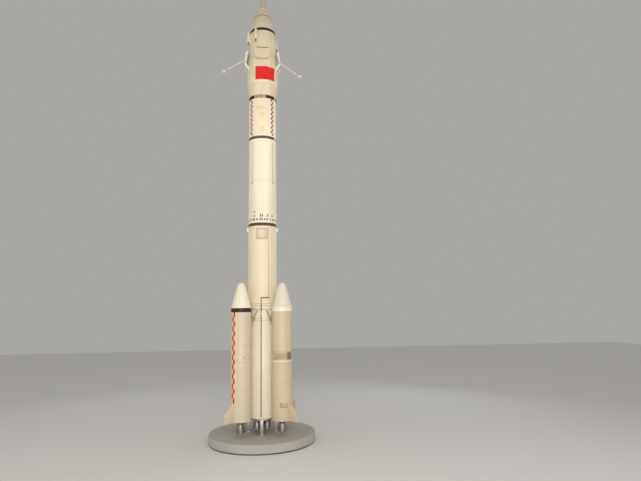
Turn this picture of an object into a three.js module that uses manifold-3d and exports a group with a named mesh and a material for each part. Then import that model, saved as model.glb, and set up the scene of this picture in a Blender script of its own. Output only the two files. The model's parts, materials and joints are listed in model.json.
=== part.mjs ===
// A 1:10 display model of a crewed launch rocket: a two-stage core with four strap-on boosters,
// an escape tower on the fairing, four folding grid fins, two wall stays and a round plinth.
// Millimetres, +Z up. The origin is under the middle of the plinth and the front looks along -Y.
import * as THREE from "three";
import { mergeVertices } from "three/addons/utils/BufferGeometryUtils.js";
import Module from "manifold-3d";

const wasm = await Module();
wasm.setup();

// Driving dimensions
const coreRadius = 167.5;
const fairingRadius = 190;
const boosterRadius = 112.5;
const boosterOffset = 325;
const coreSides = 48;
const boosterSides = 32;
const towerSides = 24;
const smallSides = 16;
const seam = 0.3;

// Heights above the floor
const level = {
  plinthTop: 100,
  nozzleExit: 150,
  skirtBottom: 270,
  skirtTop: 470,
  tankSeam: 1200,
  collar: 2388,
  stageBand: 2449,
  secondStage: 2486,
  secondTank: 2640,
  middleBand: 3513,
  forwardSection: 3548,
  fairingBand: 4026,
  boatTail: 4067,
  fairingLower: 4199,
  flareBottom: 4425,
  fairingUpper: 4590,
  noseBand: 4912,
  noseCone: 4952,
  escapeSkirt: 5150,
  escapeMotor: 5272,
  escapeHead: 5660,
  boosterBand: 1447,
  boosterNose: 1493,
  boosterTip: 1779,
  finHinge: 4508,
};

const plinth = { radius: 600, chamfer: 8 };
const stand = { ringInner: 146, ringOuter: 176, ringHeight: 18, leg: 38, legRadius: 161 };
const skirtWall = 10;
const thrustPlate = { gap: 1, under: 108, top: 2 };
const nozzle = {
  exit: 45, throat: 17, wall: 4, chamber: 26, throatUp: 120, domeUp: 144, bulge: 0.36, ring: 80,
};
const tailFin = { span: 115, tipTop: 360, tipBottom: 262, thickness: 10, sunk: 8, below: 6 };
const mountBlock = { width: 44, height: 60, sunk: 20, heights: [1330, 560] };
// The rods that brace a booster, one of each on both sides of it: where each leaves the core's skin,
// as an angle from the booster and a height, and where it meets the booster's skin
const brace = { rod: 6.5, foot: 9, footLength: 8, sides: 8 };
const braces = [
  { coreAngle: 25.5, coreHeight: 1455, boosterAngle: 135, boosterHeight: 1290 },
  { coreAngle: 15, coreHeight: 1362, boosterAngle: 146, boosterHeight: 1424 },
];
const bump = { width: 36, reach: 188, sunk: 40, bottom: 2398, top: 2442 };
const housing = {
  outer: 195, halfWidth: 83, sunk: 60, bottom: 4752, top: 4880,
  tube: 17, tubeBottom: 4790, tubeTop: 4900, tip: 4932, tipRadius: 5, nozzleExit: 11, nozzleThroat: 8,
  angle: -45,
};
const duct = { width: 10, depth: 9, angle: 30, overhang: 2, top: 2524, bend: 1608, bendHeight: 12 };
const pipe = { radius: 5, sides: 12, bottom: 290, angle: -2.4 };
const raceway = { width: 12, depth: 7, top: 3482, bottom: 2973 };
const raceways = { left: -45, right: 49 };
const sideDuct = { width: 13, depth: 7, angle: 62, top: 4066, bottom: 3490 };
const gridFin = {
  hingeRadius: 213, lean: 8.5, length: 160, start: 25, halfWidth: 88, thickness: 24,
  tongue: 70, tongueDepth: 12, barrel: 9, barrelEnd: 79, trunnion: 4.2,
  columns: 5, rows: 4, rib: 6, frame: 8, pocket: 6,
};
const bracket = {
  cheekInner: 82, cheekOuter: 94, hole: 5, baseBottom: 4444, baseTop: 4464, baseProud: 6, baseInner: 120,
  // One cheek's outline from the hinge's axis: outwards and up
  outline: [[-75, -92], [-36, -92], [-15, -55], [11, -6], [11, 7], [4, 12], [-8, 11], [-34, -41], [-75, -52]],
};
const stay = {
  rod: 9, sides: 8, flange: 30, flangeDepth: 10, plateWidth: 78, plateHeight: 36, plateDepth: 8,
};
// The stays: side, where the rod leaves the fairing and where its wall plate is (x, y, z)
const stays = [
  { name: "left", from: [-148, 79, 4682], to: [-508, 355, 4618] },
  { name: "right", from: [142, 88, 4665], to: [470, 355, 4565] },
];

// Turned profiles, rows of [radius, height] from the bottom up
const profile = {
  fairingLower: [[fairingRadius, level.fairingLower], [fairingRadius, level.flareBottom],
    [coreRadius, level.fairingUpper]],
  fairingUpper: [[coreRadius, level.fairingUpper], [coreRadius, 4825], [166, 4870], [162, level.noseBand]],
  noseBand: [[161, level.noseBand], [157, level.noseCone]],
  noseCone: [[160.5, level.noseCone], [159.5, 4959], [155, 4972], [148, 4999], [139, 5038], [128.5, 5066],
    [107, 5121], [97, level.escapeSkirt]],
  escapeSkirt: [[99, level.escapeSkirt], [96, 5157], [87, 5188], [38, level.escapeMotor]],
  escapeMotor: [[36, level.escapeMotor], [36, level.escapeHead]],
  escapeHead: [[39, level.escapeHead], [39, 5676], [32, 5684], [32, 5850], [23, 5912], [11, 5960],
    [3, 5984]],
  boosterNose: [[boosterRadius + 2, level.boosterNose], [boosterRadius + 2, 1506], [110, 1509],
    [94, 1562], [78, 1630], [60, 1690], [48, 1732], [41, 1752], [30, 1769], [10, level.boosterTip]],
};

// Paints
const paint = (color, roughness = 0.35, metalness = 0) =>
  new THREE.MeshStandardMaterial({ color, roughness, metalness });
const ivory = paint("#e6dcc0");
const white = paint("#efeae0");
const black = paint("#2c2620", 0.45);
const brown = paint("#5c4a3a", 0.5);
const metal = paint("#8b857b", 0.35, 0.8);
const grey = paint("#cfcac0", 0.6);

const rocket = new THREE.Group();
const radians = THREE.MathUtils.degToRad;
const quarters = [0, 90, 180, 270];
const corners = [45, 135, 225, 315];
const frontAngle = -90;
const onCircle = (radius, angle) => [radius * Math.cos(radians(angle)), radius * Math.sin(radians(angle))];

// A closed geometry as a solid, with its doubled vertices merged and its pole slivers dropped
function toSolid(geometry) {
  const bare = geometry.clone();
  for (const key of Object.keys(bare.attributes)) if (key !== "position") bare.deleteAttribute(key);
  const merged = mergeVertices(bare, 1e-3);
  const index = merged.index.array;
  const faces = [];
  for (let i = 0; i < index.length; i += 3) {
    const [a, b, c] = [index[i], index[i + 1], index[i + 2]];
    if (a !== b && b !== c && c !== a) faces.push(a, b, c);
  }
  return new wasm.Manifold(new wasm.Mesh({
    numProp: 3,
    vertProperties: Float32Array.from(merged.attributes.position.array),
    triVerts: Uint32Array.from(faces),
  }));
}

// A named mesh made from a solid, put in its place by a parent group
function addNode(name, solid, material, parent = rocket) {
  const made = solid.getMesh();
  const geometry = new THREE.BufferGeometry();
  geometry.setAttribute("position", new THREE.BufferAttribute(Float32Array.from(made.vertProperties), 3));
  geometry.setIndex(Array.from(made.triVerts));
  geometry.computeVertexNormals();
  const mesh = new THREE.Mesh(geometry, material);
  mesh.name = name;
  parent.add(mesh);
  return mesh;
}

// A body turned about Z from rows of [radius, height], listed from the bottom up
function turned(rows, sides = coreSides) {
  const points = rows.map(([radius, height]) => new THREE.Vector2(radius, height));
  return toSolid(new THREE.LatheGeometry(points, sides).rotateX(Math.PI / 2));
}

// A full turned section that closes on the axis and leaves a seam under its top
function section(rows, sides = coreSides) {
  const last = rows.length - 1;
  const closed = rows.map(([radius, height], i) => [radius, i === last ? height - seam : height]);
  return turned([[0, closed[0][1]], ...closed, [0, closed[last][1]]], sides);
}

// An upright ring
function ring(inner, outer, bottom, top, sides = coreSides) {
  return turned([[inner, bottom], [outer, bottom], [outer, top], [inner, top], [inner, bottom]], sides);
}

function box(width, depth, height, x = 0, y = 0, z = 0) {
  return toSolid(new THREE.BoxGeometry(width, depth, height).translate(x, y, z));
}

// A round bar between two points
function bar(from, to, radius, sides = smallSides) {
  const start = new THREE.Vector3(...from);
  const end = new THREE.Vector3(...to);
  const along = end.clone().sub(start);
  const geometry = new THREE.CylinderGeometry(radius, radius, along.length(), sides);
  const up = new THREE.Vector3(0, 1, 0);
  geometry.applyQuaternion(new THREE.Quaternion().setFromUnitVectors(up, along.normalize()));
  const middle = start.add(end).multiplyScalar(0.5);
  return toSolid(geometry.translate(middle.x, middle.y, middle.z));
}

// An outline of [x, z] corners in the XZ plane, given a thickness along Y
function plate(corners, thickness, y = 0) {
  const shape = new THREE.Shape(corners.map(([x, z]) => new THREE.Vector2(x, z)));
  const geometry = new THREE.ExtrudeGeometry(shape, { depth: thickness, bevelEnabled: false });
  return toSolid(geometry.rotateX(Math.PI / 2).translate(0, y + thickness / 2, 0));
}

// An engine bell, open below, under its chamber
function engineBell(x, y) {
  const exit = level.nozzleExit;
  const throatHeight = exit + nozzle.throatUp;
  const bulgeHeight = exit + nozzle.bulge * nozzle.throatUp;
  const bulgeRadius = nozzle.throat + (nozzle.exit - nozzle.throat) * (1 - nozzle.bulge ** 2);
  const top = level.skirtTop - thrustPlate.under;
  const rows = [
    [0, throatHeight],
    [nozzle.throat - nozzle.wall, throatHeight],
    [bulgeRadius - nozzle.wall, bulgeHeight],
    [nozzle.exit - nozzle.wall, exit],
    [nozzle.exit, exit],
    [bulgeRadius, bulgeHeight],
    [nozzle.throat, throatHeight],
    [nozzle.chamber, exit + nozzle.domeUp],
    [nozzle.chamber, top],
    [0, top],
  ];
  return turned(rows, smallSides).translate(x, y, 0);
}

// The plinth and the stand that carries the core's skirt
addNode("plinth", turned([
  [0, 0],
  [plinth.radius, 0],
  [plinth.radius, level.plinthTop - plinth.chamfer],
  [plinth.radius - plinth.chamfer, level.plinthTop],
  [0, level.plinthTop],
]), grey);

function makeStand() {
  const top = level.skirtBottom - seam;
  const bottom = top - stand.ringHeight;
  let solid = ring(stand.ringInner, stand.ringOuter, bottom, top);
  const foot = level.plinthTop + seam;
  const legTop = top - stand.ringHeight / 2;
  for (const angle of quarters) {
    const leg = box(stand.leg, stand.leg, legTop - foot, stand.legRadius, 0, (foot + legTop) / 2);
    solid = solid.add(leg.rotate([0, 0, angle]));
  }
  return solid;
}
addNode("stand", makeStand(), metal);

// The core, as turned sections: name, paint and rows of [radius, height]
const coreSections = [
  { name: "first_stage_lower_tank", finish: ivory,
    rows: [[coreRadius, level.skirtTop], [coreRadius, level.tankSeam]] },
  { name: "first_stage_upper_tank", finish: ivory,
    rows: [[coreRadius, level.tankSeam], [coreRadius, level.collar]] },
  { name: "stage_band", finish: black,
    rows: [[coreRadius, level.stageBand], [coreRadius, level.secondStage]] },
  { name: "second_stage_aft_section", finish: ivory,
    rows: [[coreRadius, level.secondStage], [coreRadius, level.secondTank]] },
  { name: "second_stage_tank", finish: ivory,
    rows: [[coreRadius, level.secondTank], [coreRadius, level.middleBand]] },
  { name: "second_stage_band", finish: black,
    rows: [[coreRadius, level.middleBand], [coreRadius, level.forwardSection]] },
  { name: "second_stage_forward_section", finish: ivory,
    rows: [[coreRadius, level.forwardSection], [coreRadius, level.fairingBand]] },
  { name: "fairing_base_band", finish: black,
    rows: [[coreRadius, level.fairingBand], [coreRadius, level.boatTail]] },
  { name: "fairing_boat_tail", finish: ivory,
    rows: [[coreRadius, level.boatTail], [fairingRadius, level.fairingLower]] },
  { name: "fairing_lower", finish: ivory, rows: profile.fairingLower },
  { name: "fairing_upper", finish: ivory, rows: profile.fairingUpper },
  { name: "nose_band", finish: black, rows: profile.noseBand },
  { name: "nose_cone", finish: white, rows: profile.noseCone },
];
for (const { name, finish, rows } of coreSections) addNode(name, section(rows), finish);

// The escape tower on the nose
addNode("escape_skirt", section(profile.escapeSkirt, towerSides), white);
addNode("escape_motor", section(profile.escapeMotor, towerSides), white);
addNode("escape_head", section(profile.escapeHead, towerSides), white);

// The collar under the stage band, with a bump at each side
const collarBump = box(bump.sunk, bump.width, bump.top - bump.bottom,
  bump.reach - bump.sunk / 2, 0, (bump.top + bump.bottom) / 2);
addNode("stage_collar", section([[coreRadius, level.collar], [coreRadius, level.stageBand]])
  .add(collarBump).add(collarBump.rotate([0, 0, 180])), white);

// The hollow skirt of a stage, open below
function skirt(radius, sides) {
  return ring(radius - skirtWall, radius, level.skirtBottom, level.skirtTop - seam, sides);
}
addNode("core_skirt", skirt(coreRadius, coreSides), ivory);

// The thrust plate with the engines that it carries
function engines(stageRadius, places, sides) {
  const plateRadius = stageRadius - skirtWall - thrustPlate.gap;
  const top = level.skirtTop - thrustPlate.top;
  const bottom = level.skirtTop - thrustPlate.under - thrustPlate.top;
  let solid = turned([[0, bottom], [plateRadius, bottom], [plateRadius, top], [0, top]], sides);
  for (const [x, y] of places) solid = solid.add(engineBell(x, y));
  return solid;
}
const coreEngines = corners.map((angle) => onCircle(nozzle.ring, angle));
addNode("core_engines", engines(coreRadius, coreEngines, coreSides), metal);

// The boosters, each in a group turned to its own angle, with its outer side along the group's +X
const boosterNames = { 225: "front_left", 315: "front_right", 45: "rear_right", 135: "rear_left" };
const blackBanded = ["front_left", "rear_right"];
const boosterBandRows = [[boosterRadius, level.boosterBand], [boosterRadius, level.boosterNose]];
const boosterTankRows = [[boosterRadius, level.skirtTop], [boosterRadius, level.boosterBand]];
const coreClearance = turned([[0, level.skirtBottom], [coreRadius + seam, level.skirtBottom],
  [coreRadius + seam, level.boosterNose], [0, level.boosterNose]]);

// A brace rod from its foot on the core to the booster's skin
function braceRod({ coreAngle, coreHeight, boosterAngle, boosterHeight }, side) {
  const [x, y] = onCircle(coreRadius, side * coreAngle);
  const [outX, outY] = onCircle(coreRadius + brace.footLength, side * coreAngle);
  const [endX, endY] = onCircle(boosterRadius - brace.rod, side * boosterAngle);
  const foot = bar([x, y, coreHeight], [outX, outY, coreHeight], brace.foot, brace.sides);
  const end = [boosterOffset + endX, endY, boosterHeight];
  return bar([outX - seam, outY, coreHeight], end, brace.rod, brace.sides).add(foot);
}

for (const angle of corners) {
  const name = `booster_${boosterNames[angle]}`;
  const group = new THREE.Group();
  group.rotation.z = radians(angle);
  rocket.add(group);
  const place = (solid) => solid.translate(boosterOffset, 0, 0);

  addNode(`${name}_nose`, place(section(profile.boosterNose, boosterSides)), white, group);
  const bandPaint = blackBanded.includes(boosterNames[angle]) ? black : ivory;
  addNode(`${name}_band`, place(section(boosterBandRows, boosterSides)), bandPaint, group);

  let tank = place(section(boosterTankRows, boosterSides));
  const gap = boosterOffset - boosterRadius - coreRadius;
  for (const height of mountBlock.heights) {
    const reach = gap + 2 * mountBlock.sunk;
    tank = tank.add(box(reach, mountBlock.width, mountBlock.height, coreRadius + gap / 2, 0, height));
  }
  for (const side of [-1, 1]) for (const rod of braces) tank = tank.add(braceRod(rod, side));
  addNode(`${name}_tank`, tank.subtract(coreClearance), ivory, group);

  const root = boosterOffset + boosterRadius - tailFin.sunk;
  const tip = boosterOffset + boosterRadius + tailFin.span;
  const fin = plate([[root, level.skirtBottom], [tip, tailFin.tipBottom], [tip, tailFin.tipTop],
    [root, level.skirtTop - tailFin.below]], tailFin.thickness);
  addNode(`${name}_skirt`, place(skirt(boosterRadius, boosterSides)).add(fin), ivory, group);
  addNode(`${name}_engine`, place(engines(boosterRadius, [[0, 0]], boosterSides)), metal, group);
}

// The abort motor housings on the fairing: a box between two motor tubes
const fairingRows = [...profile.fairingLower, ...profile.fairingUpper.slice(1), ...profile.noseBand,
  ...profile.noseCone];
const fairingClearance = turned([
  [0, level.fairingLower],
  ...fairingRows.map(([radius, height]) => [radius + 2 * seam, height]),
  [0, level.escapeSkirt],
]);

function motorHousing(angle) {
  const height = housing.top - housing.bottom;
  const width = 2 * (housing.halfWidth - housing.tube);
  let solid = box(housing.sunk, width, height, housing.outer - housing.tube - housing.sunk / 2, 0,
    housing.bottom + height / 2);
  for (const side of [-1, 1]) {
    const tube = turned([[0, housing.bottom], [housing.nozzleExit, housing.bottom],
      [housing.nozzleThroat, housing.tubeBottom], [housing.tube, housing.tubeBottom],
      [housing.tube, housing.tubeTop], [housing.tipRadius, housing.tip], [0, housing.tip]], smallSides);
    solid = solid.add(tube.translate(housing.outer - housing.tube, side * width / 2, 0));
  }
  return solid.rotate([0, 0, angle]).subtract(fairingClearance);
}
addNode("motor_housing_front_left", motorHousing(frontAngle + housing.angle), white);
addNode("motor_housing_rear_right", motorHousing(frontAngle + housing.angle + 180), white);

// Small runs along the skin
function skinStrip(width, depth, bottom, top) {
  return box(depth, width, top - bottom, coreRadius + seam + depth / 2, 0, (bottom + top) / 2);
}
function makeDuct() {
  const inner = coreRadius + 2 * seam;
  const outer = coreRadius + duct.depth;
  const shape = new THREE.Shape();
  const from = radians(frontAngle + pipe.angle - duct.overhang);
  const to = radians(frontAngle + duct.angle + duct.overhang);
  shape.absarc(0, 0, outer, from, to, false);
  shape.absarc(0, 0, inner, to, from, true);
  const depth = duct.bendHeight;
  const bend = new THREE.ExtrudeGeometry(shape, { depth, bevelEnabled: false, curveSegments: 6 });
  const run = skinStrip(duct.width, duct.depth, duct.bend, duct.top).rotate([0, 0, frontAngle + duct.angle]);
  return run.add(toSolid(bend.translate(0, 0, duct.bend - duct.bendHeight / 2)));
}
addNode("cable_duct", makeDuct(), white);
const pipePlace = onCircle(coreRadius + pipe.radius + 2 * seam, frontAngle + pipe.angle);
const pipeTop = duct.bend - duct.bendHeight / 2 - seam;
addNode("feed_pipe", bar([...pipePlace, pipe.bottom], [...pipePlace, pipeTop], pipe.radius, pipe.sides), brown);
for (const [side, angle] of Object.entries(raceways)) {
  const run = skinStrip(raceway.width, raceway.depth, raceway.bottom, raceway.top);
  addNode(`raceway_${side}`, run.rotate([0, 0, frontAngle + angle]), ivory);
}
addNode("side_duct", skinStrip(sideDuct.width, sideDuct.depth, sideDuct.bottom, sideDuct.top)
  .rotate([0, 0, frontAngle + sideDuct.angle]), white);

// A grid fin: hinge along Y at the origin, plate up along Z, outer face towards +X
function makeGridFin() {
  const f = gridFin;
  const plateHeight = f.length - f.start;
  let solid = box(f.thickness, 2 * f.halfWidth, plateHeight, 0, 0, f.start + plateHeight / 2);
  const cellWidth = (2 * (f.halfWidth - f.frame) - (f.columns - 1) * f.rib) / f.columns;
  const cellHeight = (plateHeight - 2 * f.frame - (f.rows - 1) * f.rib) / f.rows;
  for (let row = 0; row < f.rows; row += 1) {
    for (let column = 0; column < f.columns; column += 1) {
      const y = -f.halfWidth + f.frame + cellWidth / 2 + column * (cellWidth + f.rib);
      const z = f.start + f.frame + cellHeight / 2 + row * (cellHeight + f.rib);
      solid = solid.subtract(box(2 * f.pocket, cellWidth, cellHeight, f.thickness / 2, y, z));
    }
  }
  const tongue = box(f.tongueDepth, 2 * f.tongue, f.start + seam, 0, 0, (f.start + seam) / 2);
  const barrel = bar([0, -f.barrelEnd, 0], [0, f.barrelEnd, 0], f.barrel);
  const pinEnd = bracket.cheekOuter - 1;
  const trunnion = bar([0, -pinEnd, 0], [0, pinEnd, 0], f.trunnion, smallSides);
  return solid.add(tongue).add(barrel).add(trunnion);
}

// The fairing's radius at a height on its flare
function flareRadius(height) {
  const share = (height - level.flareBottom) / (level.fairingUpper - level.flareBottom);
  return fairingRadius + (coreRadius - fairingRadius) * share;
}

// Its bracket on the fairing's flare: two cheeks on a base strip that follows the skin
function makeBracket() {
  const hinge = level.finHinge;
  const outline = bracket.outline.map(([out, up]) => [gridFin.hingeRadius + out, hinge + up]);
  const cheekMiddle = (bracket.cheekInner + bracket.cheekOuter) / 2;
  const thickness = bracket.cheekOuter - bracket.cheekInner;
  const { baseBottom, baseTop, baseProud, baseInner } = bracket;
  const rim = turned([[0, baseBottom], [flareRadius(baseBottom) + baseProud, baseBottom],
    [flareRadius(baseTop) + baseProud, baseTop], [0, baseTop]]);
  let solid = rim.intersect(box(baseInner, 2 * bracket.cheekOuter, 2 * (baseTop - baseBottom),
    1.5 * baseInner, 0, (baseBottom + baseTop) / 2));
  for (const side of [-1, 1]) solid = solid.add(plate(outline, thickness, side * cheekMiddle));
  const reach = 2 * bracket.cheekOuter;
  const hole = bar([gridFin.hingeRadius, -reach, hinge], [gridFin.hingeRadius, reach, hinge], bracket.hole,
    smallSides);
  return solid.subtract(hole).subtract(fairingClearance);
}
const finSides = [["right", 0], ["rear", 90], ["left", 180], ["front", 270]];
for (const [side, angle] of finSides) {
  const group = new THREE.Group();
  group.rotation.z = radians(angle);
  rocket.add(group);
  addNode(`fin_bracket_${side}`, makeBracket(), white, group);
  const fin = addNode(`grid_fin_${side}`, makeGridFin(), white, group);
  fin.position.set(gridFin.hingeRadius, 0, level.finHinge);
  fin.rotation.y = -radians(gridFin.lean);
}

// The wall stays: a flange on the fairing, a rod and a wall plate
for (const { name, from, to } of stays) {
  const out = new THREE.Vector3(from[0], from[1], 0).normalize();
  const face = (distance) => [out.x * distance, out.y * distance, from[2]];
  const end = new THREE.Vector3(...to).sub(new THREE.Vector3(...from));
  end.setLength(end.length() - stay.plateDepth).add(new THREE.Vector3(...from));
  const solid = bar(from, end.toArray(), stay.rod, stay.sides)
    .add(bar(face(coreRadius - stay.flangeDepth), face(coreRadius + stay.flangeDepth), stay.flange))
    .add(box(stay.plateWidth, stay.plateDepth, stay.plateHeight, to[0], to[1], to[2]))
    .subtract(fairingClearance);
  addNode(`wall_stay_${name}`, solid, white);
}

export default rocket;
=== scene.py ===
# A museum's 1:10 display model of a crewed launch rocket, on its plinth, with its two wall stays.
# Metres, +Z up along the rocket; the side with the red panel looks along -Y.
import json
from math import atan2, cos, degrees, hypot, pi, radians, sin

import bmesh
import bpy
from mathutils import Matrix, Vector


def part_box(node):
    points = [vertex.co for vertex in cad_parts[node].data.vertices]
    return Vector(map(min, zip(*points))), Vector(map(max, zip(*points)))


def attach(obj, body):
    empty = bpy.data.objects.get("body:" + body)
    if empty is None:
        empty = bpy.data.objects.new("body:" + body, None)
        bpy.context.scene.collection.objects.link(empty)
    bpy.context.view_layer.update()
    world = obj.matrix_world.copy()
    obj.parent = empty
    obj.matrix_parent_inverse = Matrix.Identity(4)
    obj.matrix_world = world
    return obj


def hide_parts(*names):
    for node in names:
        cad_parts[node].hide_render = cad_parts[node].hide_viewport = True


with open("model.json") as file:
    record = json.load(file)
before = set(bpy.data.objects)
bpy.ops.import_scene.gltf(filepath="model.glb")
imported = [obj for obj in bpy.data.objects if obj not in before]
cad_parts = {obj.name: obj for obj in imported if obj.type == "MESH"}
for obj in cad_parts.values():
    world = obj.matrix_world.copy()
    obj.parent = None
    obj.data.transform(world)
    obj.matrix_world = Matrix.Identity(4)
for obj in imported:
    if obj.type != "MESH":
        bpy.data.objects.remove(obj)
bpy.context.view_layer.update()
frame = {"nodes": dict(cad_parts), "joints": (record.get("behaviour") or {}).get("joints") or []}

print("stage: camera and lights")
camera = {
    "lens": 28.08, "sensor": 36.0, "distance": 5.98, "height": 1.45,
    # degrees: where it stands round the rocket, and where it looks: to the right, up and level
    "bearing": 1.8, "heading": 4.887, "pitch": 8.0, "roll": -0.85,
}
studio = {
    "floorSize": 14.0, "floorColour": (0.82, 0.81, 0.79, 1), "floorRoughness": 0.8,
    "worldColour": (0.88, 0.86, 0.82, 1), "worldStrength": 0.45,
    "lamps": [  # name, place, aim, size, spread in degrees, power, colour
        ("frontSoftbox", (0.3, -4.9, 2.0), (0, 0, 2.0), 3.2, 180, 86, (1.0, 0.98, 0.94)),
        ("lowSoftbox", (0.1, -3.9, 0.9), (0, 0, 1.0), 0.8, 50, 1.7, (1.0, 0.98, 0.95)),
        ("highLeftSoftbox", (-2.6, -3.4, 4.2), (0, 0, 3.5), 1.6, 50, 3.6, (1.0, 0.98, 0.94)),
        ("highRightSoftbox", (2.6, -3.4, 4.2), (0, 0, 3.5), 1.6, 50, 4.4, (1.0, 0.98, 0.94)),
        ("leftSoftbox", (-4.2, -2.6, 2.4), (0, 0, 2.3), 2.8, 180, 26, (1.0, 0.97, 0.92)),
        ("rightSoftbox", (4.2, -2.6, 2.4), (0, 0, 2.3), 2.8, 180, 19, (1.0, 0.98, 0.95)),
        ("backSoftbox", (3.2, 3.4, 2.8), (0, 0, 2.4), 2.8, 180, 20, (0.9, 0.92, 1.0)),
        ("backLeftSoftbox", (-3.2, 3.6, 3.0), (0, 0, 2.6), 2.6, 180, 12, (0.97, 0.97, 1.0)),
    ],
}


def placeCamera(c):
    data = bpy.data.cameras.new("photoCamera")
    data.lens = c["lens"]
    data.sensor_width = c["sensor"]
    data.clip_end = 100
    seat = bpy.data.objects.new("photoCamera", data)
    bpy.context.scene.collection.objects.link(seat)
    bearing = radians(c["bearing"])
    place = (c["distance"] * sin(bearing), -c["distance"] * cos(bearing), c["height"])
    level = Matrix.Rotation(-radians(c["heading"]), 4, "Z")
    tilt = Matrix.Rotation(radians(90 + c["pitch"]), 4, "X") @ Matrix.Rotation(radians(c["roll"]), 4, "Z")
    seat.matrix_world = Matrix.Translation(place) @ level @ tilt
    bpy.context.scene.camera = seat


def lightStudio(s):
    for name, place, aim, size, spread, power, colour in s["lamps"]:
        data = bpy.data.lights.new(name, "AREA")
        data.shape = "DISK"
        data.size = size
        data.spread = radians(spread)
        data.energy = power
        data.color = colour
        lamp = bpy.data.objects.new(name, data)
        lamp.location = place
        lamp.rotation_euler = (Vector(aim) - Vector(place)).to_track_quat("-Z", "Y").to_euler()
        lamp.visible_camera = False
        bpy.context.scene.collection.objects.link(lamp)
    world = bpy.data.worlds.new("studioAir")
    world.use_nodes = True
    air = world.node_tree.nodes["Background"]
    air.inputs["Color"].default_value = s["worldColour"]
    air.inputs["Strength"].default_value = s["worldStrength"]
    bpy.context.scene.world = world
    bpy.context.scene.view_settings.view_transform = "Standard"  # paints come out in their own colours


placeCamera(camera)
lightStudio(studio)

print("stage: paints and metals")


def put(tree, kind, settings=None, feeds=None):
    node = tree.nodes.new(kind)
    for key, value in (settings or {}).items():
        setattr(node, key, value)
    for key, value in (feeds or {}).items():
        if isinstance(value, bpy.types.NodeSocket):
            tree.links.new(value, node.inputs[key])
        else:
            node.inputs[key].default_value = value
    return node


def math(tree, operation, first, second=0.0, third=0.0):
    node = put(tree, "ShaderNodeMath", {"operation": operation}, {0: first, 1: second, 2: third})
    return node.outputs[0]


def fade(tree, value, low, high):
    feeds = {"Value": value, "From Min": low, "From Max": high}
    return put(tree, "ShaderNodeMapRange", {"clamp": True}, feeds).outputs["Result"]


def blendColour(tree, factor, first, second, mode="MIX"):
    feeds = {"Factor": factor, 6: first, 7: second}
    return put(tree, "ShaderNodeMix", {"data_type": "RGBA", "blend_type": mode}, feeds).outputs[2]


def noise(tree, vector, scale, detail=4.0, roughness=0.55):
    feeds = {"Vector": vector, "Scale": scale, "Detail": detail, "Roughness": roughness}
    return put(tree, "ShaderNodeTexNoise", {}, feeds).outputs["Fac"]


groupResults = ("Colour", "Roughness", "Height")


def newGroup(name, inputs):
    # a group that turns colours and values into a colour, a roughness and a height
    group = bpy.data.node_groups.new(name, "ShaderNodeTree")
    for label, value in inputs.items():
        kind = "NodeSocketColor" if isinstance(value, tuple) else "NodeSocketFloat"
        group.interface.new_socket(label, in_out="INPUT", socket_type=kind).default_value = value
    for label in groupResults:
        kind = "NodeSocketColor" if label == "Colour" else "NodeSocketFloat"
        group.interface.new_socket(label, in_out="OUTPUT", socket_type=kind)
    return group, group.nodes.new("NodeGroupInput").outputs, group.nodes.new("NodeGroupOutput").inputs


def endGroup(tree, leave, *results):
    for label, value in zip(groupResults, results):
        tree.links.new(value, leave[label])
    return tree


def makeAgedPaint():
    # old sprayed paint: slow yellowing, rain-like streaks, dust specks and orange peel
    tree, given, leave = newGroup("agedPaint", {
        "Colour": (0.8, 0.8, 0.8, 1), "Tint": (0.7, 0.6, 0.4, 1),
        "Yellowing": 0.4, "Streaks": 0.25, "Dust": 0.2, "Gloss": 0.3,
    })
    where = put(tree, "ShaderNodeTexCoord").outputs["Object"]
    stretched = put(tree, "ShaderNodeMapping", {}, {"Vector": where, "Scale": (9.0, 9.0, 0.9)}).outputs[0]
    cloud = noise(tree, where, 3.1, 5.0)
    streak = fade(tree, noise(tree, stretched, 3.0, 6.0, 0.62), 0.46, 0.74)
    speck = fade(tree, noise(tree, where, 210.0, 2.0), 0.66, 0.76)
    peel = noise(tree, where, 420.0, 2.0)
    aged = math(tree, "MULTIPLY", fade(tree, cloud, 0.32, 0.7), given["Yellowing"])
    colour = blendColour(tree, aged, given["Colour"], given["Tint"])
    washed = math(tree, "MULTIPLY", streak, given["Streaks"])
    colour = blendColour(tree, washed, colour, given["Tint"])
    dusty = math(tree, "MULTIPLY", speck, given["Dust"])
    colour = blendColour(tree, dusty, colour, (0.42, 0.37, 0.3, 1))
    rough = math(tree, "MULTIPLY_ADD", cloud, 0.16, given["Gloss"])
    rough = math(tree, "MULTIPLY_ADD", streak, 0.1, rough)
    rough = math(tree, "MULTIPLY_ADD", speck, 0.3, rough)
    height = math(tree, "MULTIPLY_ADD", peel, 0.35, math(tree, "MULTIPLY", cloud, 0.8))
    height = math(tree, "MULTIPLY_ADD", speck, 0.5, height)
    return endGroup(tree, leave, colour, rough, height)


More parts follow.
